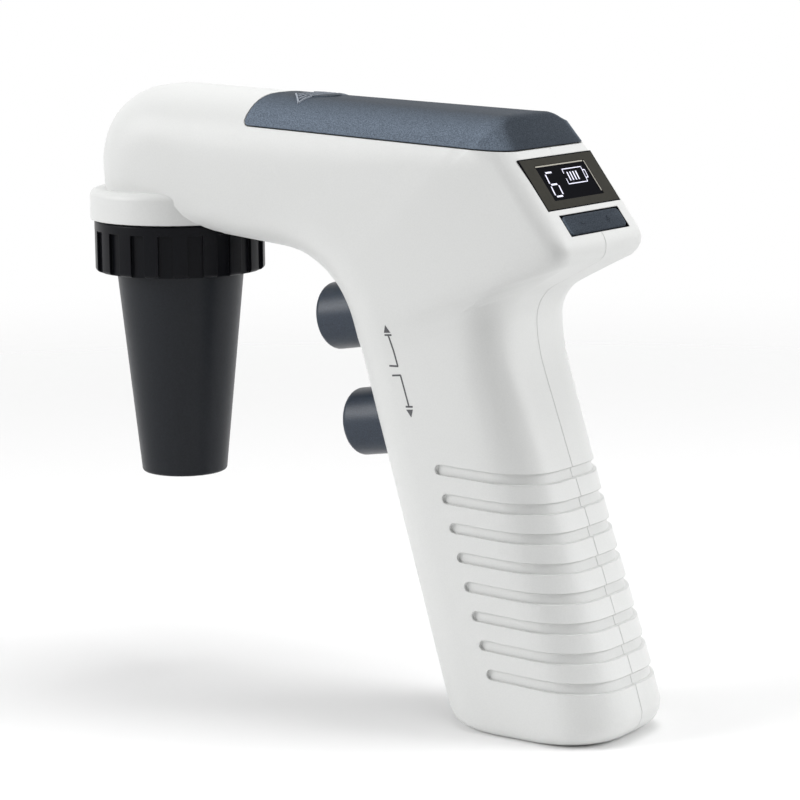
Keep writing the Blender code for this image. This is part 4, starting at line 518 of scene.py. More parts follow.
class HousingForm:
    """The housing's outer form, or the same form moved inwards by an inset."""

    def __init__(self, inset, fine=FINE):
        self.inset = inset
        self.fine = fine
        self.upper = Outline(upper_outline(), 1.0)
        self.lower = Outline(lower_outline(), -1.0)
        first, last = [self.upper.marks[k] for k in REAR_STATIONS]
        rear = [
            point for point, length in zip(self.upper.points, self.upper.lengths)
            if first <= length <= last
        ]
        self.rear_lines = list(zip(rear, rear[1:]))

    def rear_depth(self, point):
        """Depth of a point of the plane of symmetry under the pod, web and back."""
        nearest = HEAD_RADIUS
        for start, end in self.rear_lines:
            run = end - start
            share = (point - start).dot(run) / run.length_squared
            foot = start + run * min(max(share, 0.0), 1.0)
            nearest = min(nearest, (point - foot).length)
        return max(nearest - self.inset, 0.0)

    def rounded_span(self, low, high, reach):
        """Length of a section, from its upper end, inside the rear edge's rounding."""
        run = high - low
        spans = [run.length * SPAN_SHARE * k / SPAN_STEPS for k in range(SPAN_STEPS + 1)]
        depths = [self.rear_depth(high - run * (span / run.length)) for span in spans]
        if depths[-1] < reach:
            return spans[-1]
        for k in range(SPAN_STEPS, 0, -1):
            if depths[k - 1] < reach:
                t = (reach - depths[k - 1]) / (depths[k] - depths[k - 1])
                return spans[k - 1] + t * (spans[k] - spans[k - 1])
        return 0.0

    def half_width(self, point, depth_low, depth_up, key, under_top):
        half, low_reach, low_power, up_reach, up_power = key
        inset = self.inset
        width = half - inset
        width -= corner_drop(depth_low, low_reach - inset, low_power)
        if up_reach > inset:
            width -= corner_drop(depth_up, up_reach - inset, up_power)
        if under_top:
            span = DISPLAY_TOP_X - COVER_FRONT_X
            t = min(max((point.x - COVER_FRONT_X) / span, 0.0), 1.0)
            reach = ARM_ROUND_FRONT + (ARM_ROUND_REAR - ARM_ROUND_FRONT) * t
            below = (top_line(point.x) - point.y) * math.cos(ARM_SLOPE) - inset
            width -= corner_drop(below, reach - inset,
                                  ARM_POWER_FRONT + (ARM_POWER_REAR - ARM_POWER_FRONT) * t)
        above_base = point.y - BASE_Z - inset
        if BASE_EDGE > inset:
            width -= corner_drop(above_base, BASE_EDGE - inset, 2.0)
        return max(width, LEAST_HALF_WIDTH)

    def ring(self, low, high, key, under_top=False, rear=False):
        """A closed section between two points of the plane of symmetry."""
        run = high - low
        length = run.length
        span = HEAD_RADIUS - self.inset
        if rear and key[3] > self.inset:
            span = max(span, self.rounded_span(low, high, key[3] - self.inset))
        depths = [step * (key[1] - self.inset) for step in LOWER_STEPS]
        depths += [length - step * span for step in reversed(UPPER_STEPS)]
        left = []
        for depth in depths:
            point = low + run * (depth / length)
            depth_up = length - depth
            if rear:
                depth_up = min(depth_up, self.rear_depth(point))
            half = self.half_width(point, depth, depth_up, key, under_top)
            left.append(Vector((point.x, -half, point.y)))
        return left + [Vector((p.x, -p.y, p.z)) for p in reversed(left)]

    def station_ring(self, key, body):
        low = self.lower.at(key[0], self.inset)
        high = self.upper.at(key[1], self.inset)
        if self.inset > GROOVE_DEPTH and low.x < COLLAR_RADIUS + WALL:
            low.y = max(low.y, COLLAR_BOTTOM + WALL)
        if high.x < 0.0:
            high.y = max(high.y, low.y)
        return self.ring(low, high, key[2:], under_top=body, rear=body)

    def keyed_rings(self, keys, body):
        rings = []
        for a, b in zip(keys, keys[1:]):
            steps = a[7] * self.fine
            for k in range(steps):
                key = blend_keys(a[:7], b[:7], k / steps)
                rings.append(self.station_ring(key, body))
        return rings

    def rings(self):
        floor = COLLAR_BOTTOM + max(self.inset, COLLAR_EDGE)
        rings = [self.ring(
            Vector((HEAD_RADIUS - self.inset, floor)),
            Vector((self.inset - HEAD_RADIUS, floor)),
            HEAD_KEYS[0][2:7],
        )]
        rings += self.keyed_rings(HEAD_KEYS, False)[self.fine:]
        start = len(rings)
        rings += self.keyed_rings(BODY_KEYS, True)
        last = BODY_KEYS[-1]
        low = self.lower.at(last[0], self.inset)
        high = self.upper.at(last[1], self.inset)
        base = BASE_Z + self.inset
        round_z = base + BASE_REAR_RADIUS
        steps = 4 * self.fine
        for k in range(steps + 1):
            t = k / steps
            rings.append(self.ring(
                self.lower.at_height(low.y + (HANDLE_STRAIGHT_Z - low.y) * t, self.inset),
                self.upper.at_height(high.y + (HANDLE_STRAIGHT_Z - high.y) * t, self.inset),
                blend_keys(last[2:7], HANDLE_KEY, t),
                rear=True,
            ))
        end = len(rings)
        levels = [HANDLE_STRAIGHT_Z + (round_z - HANDLE_STRAIGHT_Z) * k / (2 * self.fine)
                  for k in range(1, 2 * self.fine + 1)]
        turns = 4 * self.fine
        for k in range(1, turns):
            angle = math.radians(90.0) * k / turns
            levels.append(base + BASE_REAR_RADIUS * (1.0 - math.sin(angle)))
        levels.append(base + FOOT_LIFT)
        for z in levels:
            rings.append(self.ring(
                self.lower.at_height(z, self.inset),
                self.upper.at_height(z, self.inset),
                HANDLE_KEY,
            ))
        self.smooth_widths(rings, start, end)
        return rings

    def smooth_widths(self, rings, start, end):
        """Evens out the half widths from section to section, where keys meet."""
        for _ in range(SMOOTH_PASSES):
            widths = [[point.y for point in ring] for ring in rings]
            for k in range(start + 1, end):
                for i, point in enumerate(rings[k]):
                    point.y = (widths[k - 1][i] + 2.0 * widths[k][i] + widths[k + 1][i]) / 4.0

    def mesh(self, name):
        shape = bmesh.new()
        add_skin(shape, self.rings())
        bmesh.ops.triangulate(shape, faces=shape.faces)
        return finish_mesh(name, shape)


# Frames


def frame_at(parent, place, tilt):
    return parent @ Matrix.Translation(place) @ Matrix.Rotation(tilt, 4, "Y")


REAR = max(point.x for point in Outline(upper_outline(), 1.0).points)
NOSE = Matrix.Translation(((COLLAR_RADIUS - REAR) / 2.0, 0.0, -BASE_Z))
HOME = Matrix.Identity(4)
ARM = frame_at(HOME, (COVER_FRONT_X, 0.0, COVER_FRONT_Z), ARM_SLOPE)
DISPLAY = frame_at(HOME, (DISPLAY_TOP_X, 0.0, top_line(DISPLAY_TOP_X)), DISPLAY_SLOPE)
PRESS = math.radians(90.0) - TRIGGER_TILT
UPPER_TRIGGER = frame_at(HOME, (TRIGGER_X, 0.0, TRIGGER_Z), PRESS)
LOWER_TRIGGER = frame_at(UPPER_TRIGGER, (TRIGGER_SPACING, 0.0, TRIGGER_SETBACK), 0.0)
TRIGGERS = {"aspirate": UPPER_TRIGGER, "dispense": LOWER_TRIGGER}


# Finishes: every material is a Principled shader fed by procedural nodes


def add_node(tree, kind, inputs=(), **settings):
    """A shader node. An input is given by its key and a value or another node's output."""
    node = tree.nodes.new(kind)
    for key, value in settings.items():
        setattr(node, key, value)
    for key, value in inputs:
        if hasattr(value, "is_linked"):
            tree.links.new(value, node.inputs[key])
        else:
            node.inputs[key].default_value = value
    return node


class Finish:
    """A material whose colour, roughness and relief come from noise in object space."""

    def __init__(self, name, roughness=0.5, metallic=0.0):
        self.material = bpy.data.materials.new(name)
        self.material.use_nodes = True
        self.tree = self.material.node_tree
        self.shader = self.tree.nodes["Principled BSDF"]
        self.shader.inputs["Roughness"].default_value = roughness
        self.shader.inputs["Metallic"].default_value = metallic
        self.place = self.node("ShaderNodeTexCoord").outputs["Object"]
        self.normal = None

    def node(self, kind, inputs=(), **settings):
        return add_node(self.tree, kind, inputs, **settings)

    def feed(self, name, output):
        self.tree.links.new(output, self.shader.inputs[name])
        return self

    def set(self, **values):
        for key, value in values.items():
            self.shader.inputs[key.replace("_", " ")].default_value = value
        return self

    def noise(self, scale, detail=3.0, stretch=None):
        place = self.place
        if stretch:
            place = self.node("ShaderNodeMapping", (
                ("Vector", self.place), ("Scale", stretch))).outputs["Vector"]
        return self.node("ShaderNodeTexNoise", (
            ("Vector", place), ("Scale", scale), ("Detail", detail))).outputs["Fac"]

    def colours(self, factor, stops):
        """Colour stops (place, colour) along a factor, into the base colour."""
        ramp = self.node("ShaderNodeValToRGB", (("Fac", factor),))
        ramp.color_ramp.elements[0].position = stops[0][0]
        ramp.color_ramp.elements[0].color = (*stops[0][1], 1.0)
        ramp.color_ramp.elements[1].position = stops[-1][0]
        ramp.color_ramp.elements[1].color = (*stops[-1][1], 1.0)
        for place, colour in stops[1:-1]:
            ramp.color_ramp.elements.new(place).color = (*colour, 1.0)
        return self.feed("Base Color", ramp.outputs["Color"])

    def paint_shade_by_facing(self, share):
        """Darkens what faces up, down, front or back: painted shade by facing, so the sides keep
        full colour.
        """
        normal = self.node("ShaderNodeNewGeometry").outputs["Normal"]
        across = self.node("ShaderNodeSeparateXYZ", (("Vector", normal),)).outputs["Y"]
        amount = self.node("ShaderNodeMath", ((0, across),), operation="ABSOLUTE")
        spread = self.node("ShaderNodeMapRange", (
            ("Value", amount.outputs["Value"]), ("From Min", 0.05), ("From Max", 0.75),
            ("To Min", share), ("To Max", 1.0)))
        colour = self.shader.inputs["Base Color"].links[0].from_socket
        mixed = self.node("ShaderNodeVectorMath", (
            (0, colour), ("Scale", spread.outputs["Result"])), operation="SCALE")
        self.feed("Base Color", mixed.outputs["Vector"])

    def rough(self, factor, low, high):
        spread = self.node("ShaderNodeMapRange", (
            ("Value", factor), ("To Min", low), ("To Max", high)))
        return self.feed("Roughness", spread.outputs["Result"])

    def soft_edges(self, radius):
        """Rounds the edges in shading only, so that they catch the light."""
        self.normal = self.node("ShaderNodeBevel", (("Radius", radius),),
                                samples=4).outputs["Normal"]
        return self.feed("Normal", self.normal)

    def relief(self, height, depth, strength=1.0):
        inputs = [("Height", height), ("Distance", depth), ("Strength", strength)]
        if self.normal:
            inputs.append(("Normal", self.normal))
        self.normal = self.node("ShaderNodeBump", inputs).outputs["Normal"]
        return self.feed("Normal", self.normal)


def scaled(colour, share):
    return tuple(channel * share for channel in colour)


def moulded(name, colour, spread, grain, roughness, edge=0.0, relief=0.01 * MM, gloss=0.5,
            ends=1.0):
    """Moulded plastic or rubber with a fine grain and slight clouds in its colour."""
    finish = Finish(name, roughness)
    finish.set(Specular_IOR_Level=gloss)
    fine = finish.noise(grain, 2.0)
    finish.colours(fine, ((0.35, scaled(colour, 1.0 - spread)),
                          (0.65, scaled(colour, 1.0 + spread))))
    finish.rough(finish.noise(grain / 3.0), roughness - 0.05, roughness + 0.07)
    # ends below 1 paints shade on what faces up, down, front or back
    if ends != 1.0:
        finish.paint_shade_by_facing(ends)
    if edge:
        finish.soft_edges(edge)
    return finish.relief(fine, relief).material


SHELL = moulded("shell_plastic", (0.735, 0.742, 0.733), 0.012, 2600.0, 0.42, 0.35 * MM,
                0.004 * MM, 0.4)
# The cover and rocker finish; its last value, 0.27, paints shade on what faces up, down, front or
# back
SLATE = moulded("slate_soft_plastic", (0.150, 0.184, 0.232), 0.30, 3600.0, 0.50, 0.25 * MM,
                0.03 * MM, 0.03, 0.27)
# A darker copy of the slate for the triggers: its base colour is painted shade, and 0.35 paints
# more shade where they face up, down, front or back
SHADED_TRIGGER_SLATE = moulded("trigger_slate_painted_shade", (0.036, 0.047, 0.066), 0.20, 3600.0, 0.34,
                         0.25 * MM, 0.02 * MM, 0.28, 0.35)
GRIP_FINISH = moulded("grip_plastic", (0.27, 0.30, 0.35), 0.15, 3600.0, 0.45, 0.1 * MM,
                      0.01 * MM, 0.3)
NOSE_FINISH = moulded("nose_satin_plastic", (0.0125, 0.0145, 0.0185), 0.10, 2400.0, 0.36,
                      0.28 * MM, 0.008 * MM, 0.20)
# A darker copy of the nose plastic for the fluted ring: the darker colour is painted shade
SHADED_RING_FINISH = moulded("nose_ring_painted_shade", (0.0052, 0.0056, 0.0075), 0.10, 2400.0, 0.30,
                      0.28 * MM, 0.008 * MM, 0.10)
BEZEL = moulded("display_bezel_gloss", (0.0400, 0.0385, 0.0320), 0.05, 900.0, 0.30, 0.12 * MM,
                0.001 * MM, 0.03)
LCD = moulded("display_dark_panel", (0.0030, 0.0032, 0.0048), 0.10, 1500.0, 0.35, gloss=0.01)
# Pale bars painting the highlight on the LCD recess's top and right edges
PAINTED_EDGE_HIGHLIGHT = moulded("display_edge_painted_highlight", (0.44, 0.42, 0.36), 0.05, 1500.0, 0.30)
PRINT = moulded("printed_grey", (0.085, 0.085, 0.092), 0.06, 5000.0, 0.55)
SILICONE = moulded("silicone_rubber", (0.105, 0.105, 0.112), 0.06, 1800.0, 0.52, 0.2 * MM)
PLASTIC = moulded("dark_inner_plastic", (0.038, 0.038, 0.042), 0.08, 1500.0, 0.45, 0.2 * MM)


def make_lit_digits():
    finish = Finish("display_segments", 0.4)
    finish.colours(finish.noise(2500.0), ((0.3, (0.80, 0.80, 0.95)), (0.7, (0.86, 0.86, 1.0))))
    return finish.set(Emission_Color=(0.80, 0.80, 1.0, 1.0), Emission_Strength=0.25).material


def make_filter():
    finish = Finish("filter_shell", 0.45)
    finish.colours(finish.noise(700.0), ((0.3, (0.78, 0.79, 0.76)), (0.7, (0.85, 0.86, 0.83))))
    rings = finish.node("ShaderNodeTexWave", (("Vector", finish.place), ("Scale", 260.0)),
                        wave_type="RINGS", rings_direction="Z")
    return finish.relief(rings.outputs["Fac"], 0.08 * MM).material


def make_board():
    finish = Finish("circuit_board", 0.38)
    cells = finish.node("ShaderNodeTexVoronoi", (("Vector", finish.place), ("Scale", 420.0)),
                        feature="DISTANCE_TO_EDGE", distance="CHEBYCHEV")
    finish.colours(cells.outputs["Distance"], (
        (0.0, (0.03, 0.30, 0.13)), (0.06, (0.012, 0.16, 0.06)), (0.30, (0.010, 0.13, 0.05))))
    return finish.relief(cells.outputs["Distance"], 0.04 * MM).material


def make_cell():
    finish = Finish("battery_wrap", 0.32)
    finish.colours(finish.noise(160.0), ((0.3, (0.030, 0.105, 0.30)), (0.7, (0.045, 0.14, 0.38))))
    return finish.relief(finish.noise(420.0, 2.0, (1.0, 0.25, 1.0)), 0.12 * MM).material


def make_metal(name, low, high, roughness, stretch):
    finish = Finish(name, roughness, 1.0)
    streaks = finish.noise(1500.0, 4.0, stretch)
    finish.colours(streaks, ((0.3, low), (0.7, high)))
    finish.rough(streaks, roughness - 0.07, roughness + 0.10)
    finish.soft_edges(0.15 * MM)
    return finish.relief(streaks, 0.006 * MM).material


def make_tubing():
    finish = Finish("silicone_tubing", 0.30)
    finish.colours(finish.noise(500.0), ((0.3, (0.72, 0.74, 0.74)), (0.7, (0.80, 0.82, 0.82))))
    finish.set(Transmission_Weight=0.35, IOR=1.41)
    return finish.relief(finish.noise(900.0), 0.01 * MM).material


DIGITS = make_lit_digits()
FILTER = make_filter()
BOARD = make_board()
CELL = make_cell()
STEEL = make_metal("brushed_steel", (0.50, 0.51, 0.53), (0.66, 0.67, 0.69), 0.30, (1.0, 1.0, 0.08))
BRASS = make_metal("turned_brass", (0.60, 0.43, 0.17), (0.74, 0.56, 0.26), 0.30, (1.0, 1.0, 0.1))
TUBING = make_tubing()

NODE_FINISHES = {
    SHELL: ("left_shell", "right_shell"),
    SLATE: ("battery_cover", "speed_rocker", "aspirate_trigger", "dispense_trigger"),
    NOSE_FINISH: ("nosepiece",),
    BEZEL: ("display_window",),
    SILICONE: ("pipette_adapter", "spigot_o_ring", "aspirate_seal", "dispense_seal",
               "motor_cushion"),
    FILTER: ("membrane_filter",),
    BOARD: ("display_board", "control_board"),
    PLASTIC: ("display_module", "minus_switch", "plus_switch", "aspirate_switch",
              "dispense_switch", "valve_block", "nose_spigot", "pump_bracket", "pump_head",
              "battery_tray", "battery_connector", "charging_socket"),
    CELL: ("battery_pack",),
    STEEL: ("rocker_pin", "aspirate_spring", "dispense_spring", "pump_motor",
            "shell_screw_1", "shell_screw_2", "shell_screw_3", "shell_screw_4"),
    BRASS: ("aspirate_stem", "dispense_stem", "pump_rotor"),
    TUBING: ("nose_tube", "pressure_tube", "suction_tube"),
}
for finish_material, node_names in NODE_FINISHES.items():
    for node_name in node_names:
        slots = NODES[node_name].data.materials
        slots.clear()
        slots.append(finish_material)


def add_piece(name, mesh, material, body, replaced=()):
    """A new piece from a mesh in the nose frame, riding on a body."""
    mesh.name = name
    mesh.transform(NOSE)
    mesh.materials.clear()
    mesh.materials.append(material)
    piece = bpy.data.objects.new(name, mesh)
    bpy.context.scene.collection.objects.link(piece)
    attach(piece, body)
    if replaced:
        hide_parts(*replaced)
    return piece


# Housing


def cover_block(clearance):
    """The space above the cover's edge and behind its front, in the nose frame."""
    low = (-clearance, -COLLAR_RADIUS, -clearance)
    high = (DISPLAY_TOP_X + DISPLAY_LENGTH, COLLAR_RADIUS, ARM_TOP)
    shape = box_shape(low, high)
    edges = [edge for edge in shape.edges if all(v.co.x < MM and v.co.z < MM for v in edge.verts)]
    bmesh.ops.bevel(shape, geom=edges, offset=COVER_CORNER + clearance, segments=8,
                    affect="EDGES", profile=0.5)
    return placed(finish_mesh("cover_block", shape), ARM)


def groove_cutter():
    """Upright slots with a round front end, down to the depth of the grooves."""
    shape = bmesh.new()
    half = GROOVE_HEIGHT / 2.0
    for i in range(GROOVE_COUNT):
        front = Vector((GROOVE_FIRST_X + i * GROOVE_STAGGER, 0.0,
                        GROOVE_FIRST_Z - i * GROOVE_PITCH))
        along = Vector((math.cos(GROOVE_TILT), 0.0, -math.sin(GROOVE_TILT)))
        upward = Vector((math.sin(GROOVE_TILT), 0.0, math.cos(GROOVE_TILT)))
        rear = front + along * GROOVE_REACH
        rim = [rear - upward * half, rear + upward * half]
        for k in range(19):
            angle = math.radians(90.0 + 10.0 * k)
            rim.append(front + half * (along * math.cos(angle) + upward * math.sin(angle)))
        add_skin(shape, [[point + Vector((0.0, y, 0.0)) for point in rim]
                         for y in (-COLLAR_RADIUS, COLLAR_RADIUS)])
    slots = finish_mesh("groove_slots", shape)
    return carve("grooves", slots, [("DIFFERENCE", HousingForm(GROOVE_DEPTH).mesh("floor"))])


def display_cuts():
    depth = WINDOW_THICKNESS + GAP
    end = WINDOW_START + WINDOW_LENGTH
    half = WINDOW_HALF_WIDTH
    boxes = (
        ((WINDOW_START - GAP, -half - GAP, -depth), (end + GAP, half + GAP, WALL)),
        ((WINDOW_START + WINDOW_LEDGE / 2.0, WINDOW_LEDGE - half, -2.0 * WALL),
         (end - WINDOW_LEDGE / 2.0, half - WINDOW_LEDGE, WALL)),
        ((ROCKER_START - GAP, -ROCKER_HALF_WIDTH - ROCKER_SIDE_GAP, -2.0 * WALL),
         (ROCKER_START + ROCKER_LENGTH + GAP, ROCKER_HALF_WIDTH + ROCKER_SIDE_GAP, 2.0 * WALL)),
    )
    return [placed(box_mesh(low, high), DISPLAY) for low, high in boxes]


def housing_mesh():
    """The whole moulding before it is split along the seam."""
    collar = turned_mesh(rounded(
        [(0.0, COLLAR_TOP), (COLLAR_RADIUS, COLLAR_TOP),
         (COLLAR_RADIUS, COLLAR_BOTTOM - WALL), (0.0, COLLAR_BOTTOM - WALL)],
        (0.0, 1.4 * COLLAR_EDGE, 0.0, 0.0)))
    steps = [
        ("UNION", collar),
        ("DIFFERENCE", rod_mesh(COLLAR_RADIUS + GAP, COLLAR_BOTTOM - RING_HEIGHT,
                                COLLAR_BOTTOM)),
        ("DIFFERENCE", HousingForm(WALL, 1).mesh("core")),
        ("DIFFERENCE", groove_cutter()),
    ]
    for (x, z), reach in zip(SCREW_PLACES, BOSS_REACHES):
        steps.append(("UNION", across_rod(x, z, BOSS_RADIUS, -reach, reach)))
    room = BLOCK_HALF_WIDTH + GAP
    cuts = [placed(box_mesh(
        (-BLOCK_MARGIN - GAP, -room, BLOCK_START - GAP),
        (BLOCK_MARGIN + TRIGGER_SPACING + GAP, room, BLOCK_START + BLOCK_LENGTH + GAP),
    ), UPPER_TRIGGER)]
    cuts += display_cuts()
    cuts.append(cover_block(0.0))
    cuts.append(rod_mesh(SPIGOT_RADIUS + GAP, COLLAR_BOTTOM - WALL, COLLAR_BOTTOM + 1.4 * WALL))
    flange_start = TRIGGER_LENGTH - TRIGGER_FLANGE_THICKNESS
    flange = TRIGGER_RADIUS + TRIGGER_FLANGE
    for place in TRIGGERS.values():
        cuts.append(placed(rod_mesh(TRIGGER_RADIUS + GAP, 0.0, flange_start), place))
        cuts.append(placed(rod_mesh(flange + GAP, flange_start - GAP, BLOCK_START), place))
    socket = rod_mesh(SOCKET_RADIUS + GAP, BASE_Z - WALL, BASE_Z + 2.0 * WALL, SMALL_ROUND)
    cuts.append(placed(socket, Matrix.Translation((SOCKET_X, 0.0, 0.0))))
    for x, z in SCREW_PLACES:
        cuts.append(across_rod(x, z, SCREW_RADIUS + GAP, SCREW_HEAD_SEAT - SCREW_LENGTH - GAP,
                               SCREW_HEAD_SEAT + GAP))
        cuts.append(across_rod(x, z, SCREW_HEAD_RADIUS + GAP, SCREW_HEAD_SEAT - GAP,
                               COLLAR_RADIUS))
    steps += [("DIFFERENCE", cut) for cut in cuts]
    return carve("housing", HousingForm(0.0).mesh("housing_form"), steps)


def make_shells():
    housing = housing_mesh()
    reach = DISPLAY_TOP_X * 2.0
    shells = {}
    for name, side in (("left_shell", -1.0), ("right_shell", 1.0)):
        near = side * SEAM_GAP / 2.0
        low = (-reach, min(near, -side * reach), -reach)
        high = (reach, max(near, -side * reach), reach)
        mesh = carve(name + "_look", housing.copy(), [("DIFFERENCE", box_mesh(low, high))])
        shells[name] = BVHTree.FromPolygons(
            [v.co.copy() for v in mesh.vertices], [tuple(p.vertices) for p in mesh.polygons])
        add_piece(name + "_look", mesh, SHELL, "housing", (name,))
    return shells


ARROW_WIDTH = 0.42 * MM
PRINT_PROUD = 0.03 * MM


def make_arrows(shell):
    """Two printed arrows on the left side, laid onto the shell: one up and one down. Their
    points are (x, z) in mm."""
    lines = (
        ((75.75, -23.17), (77.65, -23.03)),
        ((76.72, -23.10), (79.00, -30.25)),
        ((76.60, -30.31), (79.12, -30.20)),
        ((77.38, -32.50), (79.78, -32.22)),
        ((79.72, -32.25), (81.98, -39.20)),
        ((81.10, -39.42), (83.08, -39.25)),
    )
    heads = (
        ((76.12, -20.75), (75.63, -22.65), (77.43, -22.51)),
        ((82.66, -41.82), (83.11, -39.91), (81.25, -40.09)),
    )
    shape = bmesh.new()
    for start, end in lines:
        a, b = Vector(start) * MM, Vector(end) * MM
        side = (b - a).normalized().orthogonal() * ARROW_WIDTH / 2.0
        add_flat(shape, (a + side, b + side, b - side, a - side))
    for head in heads:
        add_flat(shape, [Vector(corner) * MM for corner in head])
    for vert in shape.verts:
        start = Vector((vert.co.x, -COLLAR_RADIUS * 2.0, vert.co.z))
        hit = shell.ray_cast(start, Vector((0.0, 1.0, 0.0)))[0]
        vert.co.y = hit.y - PRINT_PROUD
    add_piece("printed_arrows", finish_mesh("arrows", shape), PRINT, "housing")


def add_flat(shape, corners):
    """A flat face in the plane of x and z, cut small enough to lie on a curved surface."""
    face = shape.faces.new([shape.verts.new((c.x, 0.0, c.y)) for c in corners])
    edges = [edge for edge in face.edges if edge.calc_length() > MM]
    bmesh.ops.subdivide_edges(shape, edges=edges, cuts=5, use_grid_fill=True)


# Battery cover


def make_cover():
    """The sliding cover with its thumb pad and the grip marks on it."""
    angles = [2.0 * math.pi * k / OVAL_STEPS for k in range(OVAL_STEPS)]
    oval = [(PAD_X + PAD_LENGTH / 2.0 * math.cos(angle), PAD_WIDTH / 2.0 * math.sin(angle))
            for angle in angles]
    pad = carve("pad", HousingForm(-PAD_PROUD).mesh("pad_form"), [
        ("INTERSECT", placed(prism_mesh(oval, COVER_CORNER, ARM_TOP), ARM))])
    steps = [
        ("INTERSECT", cover_block(-GAP)),
        ("UNION", pad),
        ("DIFFERENCE", HousingForm(WALL, 1).mesh("cover_core")),
    ]
    mesh = carve("battery_cover_look", HousingForm(0.0).mesh("cover_form"), steps)
    add_piece("battery_cover_look", mesh, SLATE, "cover", ("battery_cover",))
    # Grip marks, in mm along the cover from its front edge and across it
    marks = [[(6.3, -3.4), (6.3, -4.0), (12.3, -10.9), (12.3, -10.3)],
             [(6.3, 3.4), (12.3, 10.3), (12.3, 10.9), (6.3, 4.0)]]
    for place, half in ((7.7, 4.9), (9.2, 6.7), (10.7, 8.5), (12.1, 10.5)):
        far = place + GRIP_BAR
        marks.append([(place, -half), (far, -half), (far, half), (place, half)])
    for k, mark in enumerate(marks):
        name = "cover_grip_%d" % (k + 1)
        outline = [(p * MM, y * MM) for p, y in mark]
        ridge = carve(name, HousingForm(-GRIP_PROUD).mesh("ridge_form"), [
            ("INTERSECT", placed(prism_mesh(outline, COVER_CORNER, ARM_TOP), ARM)),
            ("DIFFERENCE", HousingForm(GRIP_PROUD).mesh("ridge_core"))])
        add_piece(name, ridge, GRIP_FINISH, "cover")


# Display window and rocker


def add_display_piece(name, mesh, material, replaced=()):
    """A piece of the window, from a mesh in the frame of the display slope."""
    add_piece(name, placed(mesh, DISPLAY), material, "housing", replaced)


def make_display():
    end = WINDOW_START + WINDOW_LENGTH
    for name, low, high in (("display_seam_upper", SEAM_STRIP_START, WINDOW_START - GAP),
                            ("display_seam_lower", end + GAP, ROCKER_START - GAP)):
        strip = box_mesh((low, -GAP, -WINDOW_THICKNESS), (high, GAP, 0.004 * MM))
        add_piece(name, placed(strip, DISPLAY), SHELL, "housing")
    plate = box_mesh((WINDOW_START, -WINDOW_HALF_WIDTH, -WINDOW_THICKNESS),
                     (end, WINDOW_HALF_WIDTH, 0.0))
    recess = box_mesh((LCD_START, -LCD_HALF_WIDTH, -LCD_SUNK), (LCD_END, LCD_HALF_WIDTH, MM))
    add_display_piece("display_bezel", carve("display_bezel", plate, [("DIFFERENCE", recess)]),
                      BEZEL, ("display_window",))
    # Dark frames sunk in the gaps round the window and the rocker: painted shade in the gaps
    rim = 0.9 * GAP
    frames = (
        ("display_gap_painted_shade", WINDOW_START, end, WINDOW_HALF_WIDTH, rim, FRAME_CLEARANCE),
        ("rocker_gap_painted_shade", ROCKER_START, ROCKER_START + ROCKER_LENGTH, ROCKER_HALF_WIDTH,
         rim + ROCKER_SIDE_GAP - GAP, 0.2 * MM),
    )
    for name, low, high, half, margin, free in frames:
        outer = box_mesh((low - rim, -half - margin, -WINDOW_THICKNESS),
                         (high + rim, half + margin, -FRAME_CLEARANCE))
        inner = box_mesh((low - FRAME_CLEARANCE, -half - free, -MM - WINDOW_THICKNESS),
                         (high + FRAME_CLEARANCE, half + free, MM))
        add_display_piece(name, carve(name, outer, [("DIFFERENCE", inner)]), LCD)
    top = 0.05 * MM - LCD_SUNK
    edge = 0.01 * MM
    add_display_piece("display_panel", box_mesh(
        (LCD_START + edge, edge - LCD_HALF_WIDTH, -LCD_SUNK),
        (LCD_END - edge, LCD_HALF_WIDTH - edge, top)), LCD)
    # Painted highlights: pale bars along the LCD's top and right edges
    shape = bmesh.new()
    line = 0.28 * MM
    height = 0.11 * MM
    low, left, right = LCD_START + line, line - LCD_HALF_WIDTH, LCD_HALF_WIDTH - line
    add_bar(shape, (low, left), (low, right - 2.0 * line), line, top, height)
    add_bar(shape, (low, right), (LCD_END - 3.0 * line, right), line, top, height)
    add_display_piece("display_painted_edge_highlights", finish_mesh("lines", shape, False), PAINTED_EDGE_HIGHLIGHT)
    make_digit(top)
    make_battery_sign(top)


def add_bar(shape, start, end, width, level, height):
    """A thin bar between two (p, y) points of the display frame."""
    a, b = Vector(start), Vector(end)
    run = (b - a).normalized()
    side = Vector((-run.y, run.x)) * width / 2.0
    corners = (a + side, b + side, b - side, a - side)
    add_skin(shape, [[(c.x, c.y, z) for c in corners] for z in (level, level + height)])


def slanted(origin, across, down):
    """A (p, y) point of the display, leaning as the shown signs do."""
    return (origin[0] + down * MM, origin[1] + (across + SIGN_SLANT * down) * MM)


def add_sign(name, origin, lines, level):
    """Lit bars in the display, each with its ends (across, down) and its width in mm."""
    shape = bmesh.new()
    for a, b, width in lines:
        add_bar(shape, slanted(origin, *a), slanted(origin, *b), width * MM, level, SIGN_HEIGHT)
    add_display_piece(name, finish_mesh(name, shape, False), DIGITS)


def make_digit(level):
    """The digit six in seven segments, without the upper right one."""
    wide, mid, tall = 3.2, 3.1, 6.2
    segments = (
        ((0.35, 0.0), (wide - 0.35, 0.0)),
        ((0.0, 0.40), (0.0, mid - 0.35)),
        ((0.35, mid), (wide - 0.35, mid)),
        ((0.0, mid + 0.40), (0.0, tall - 0.40)),
        ((wide, mid + 0.40), (wide, tall - 0.40)),
        ((0.35, tall), (wide - 0.35, tall)),
    )
    add_sign("display_digit", (15.44 * MM, -7.85 * MM), [(a, b, 0.43) for a, b in segments],
             level)


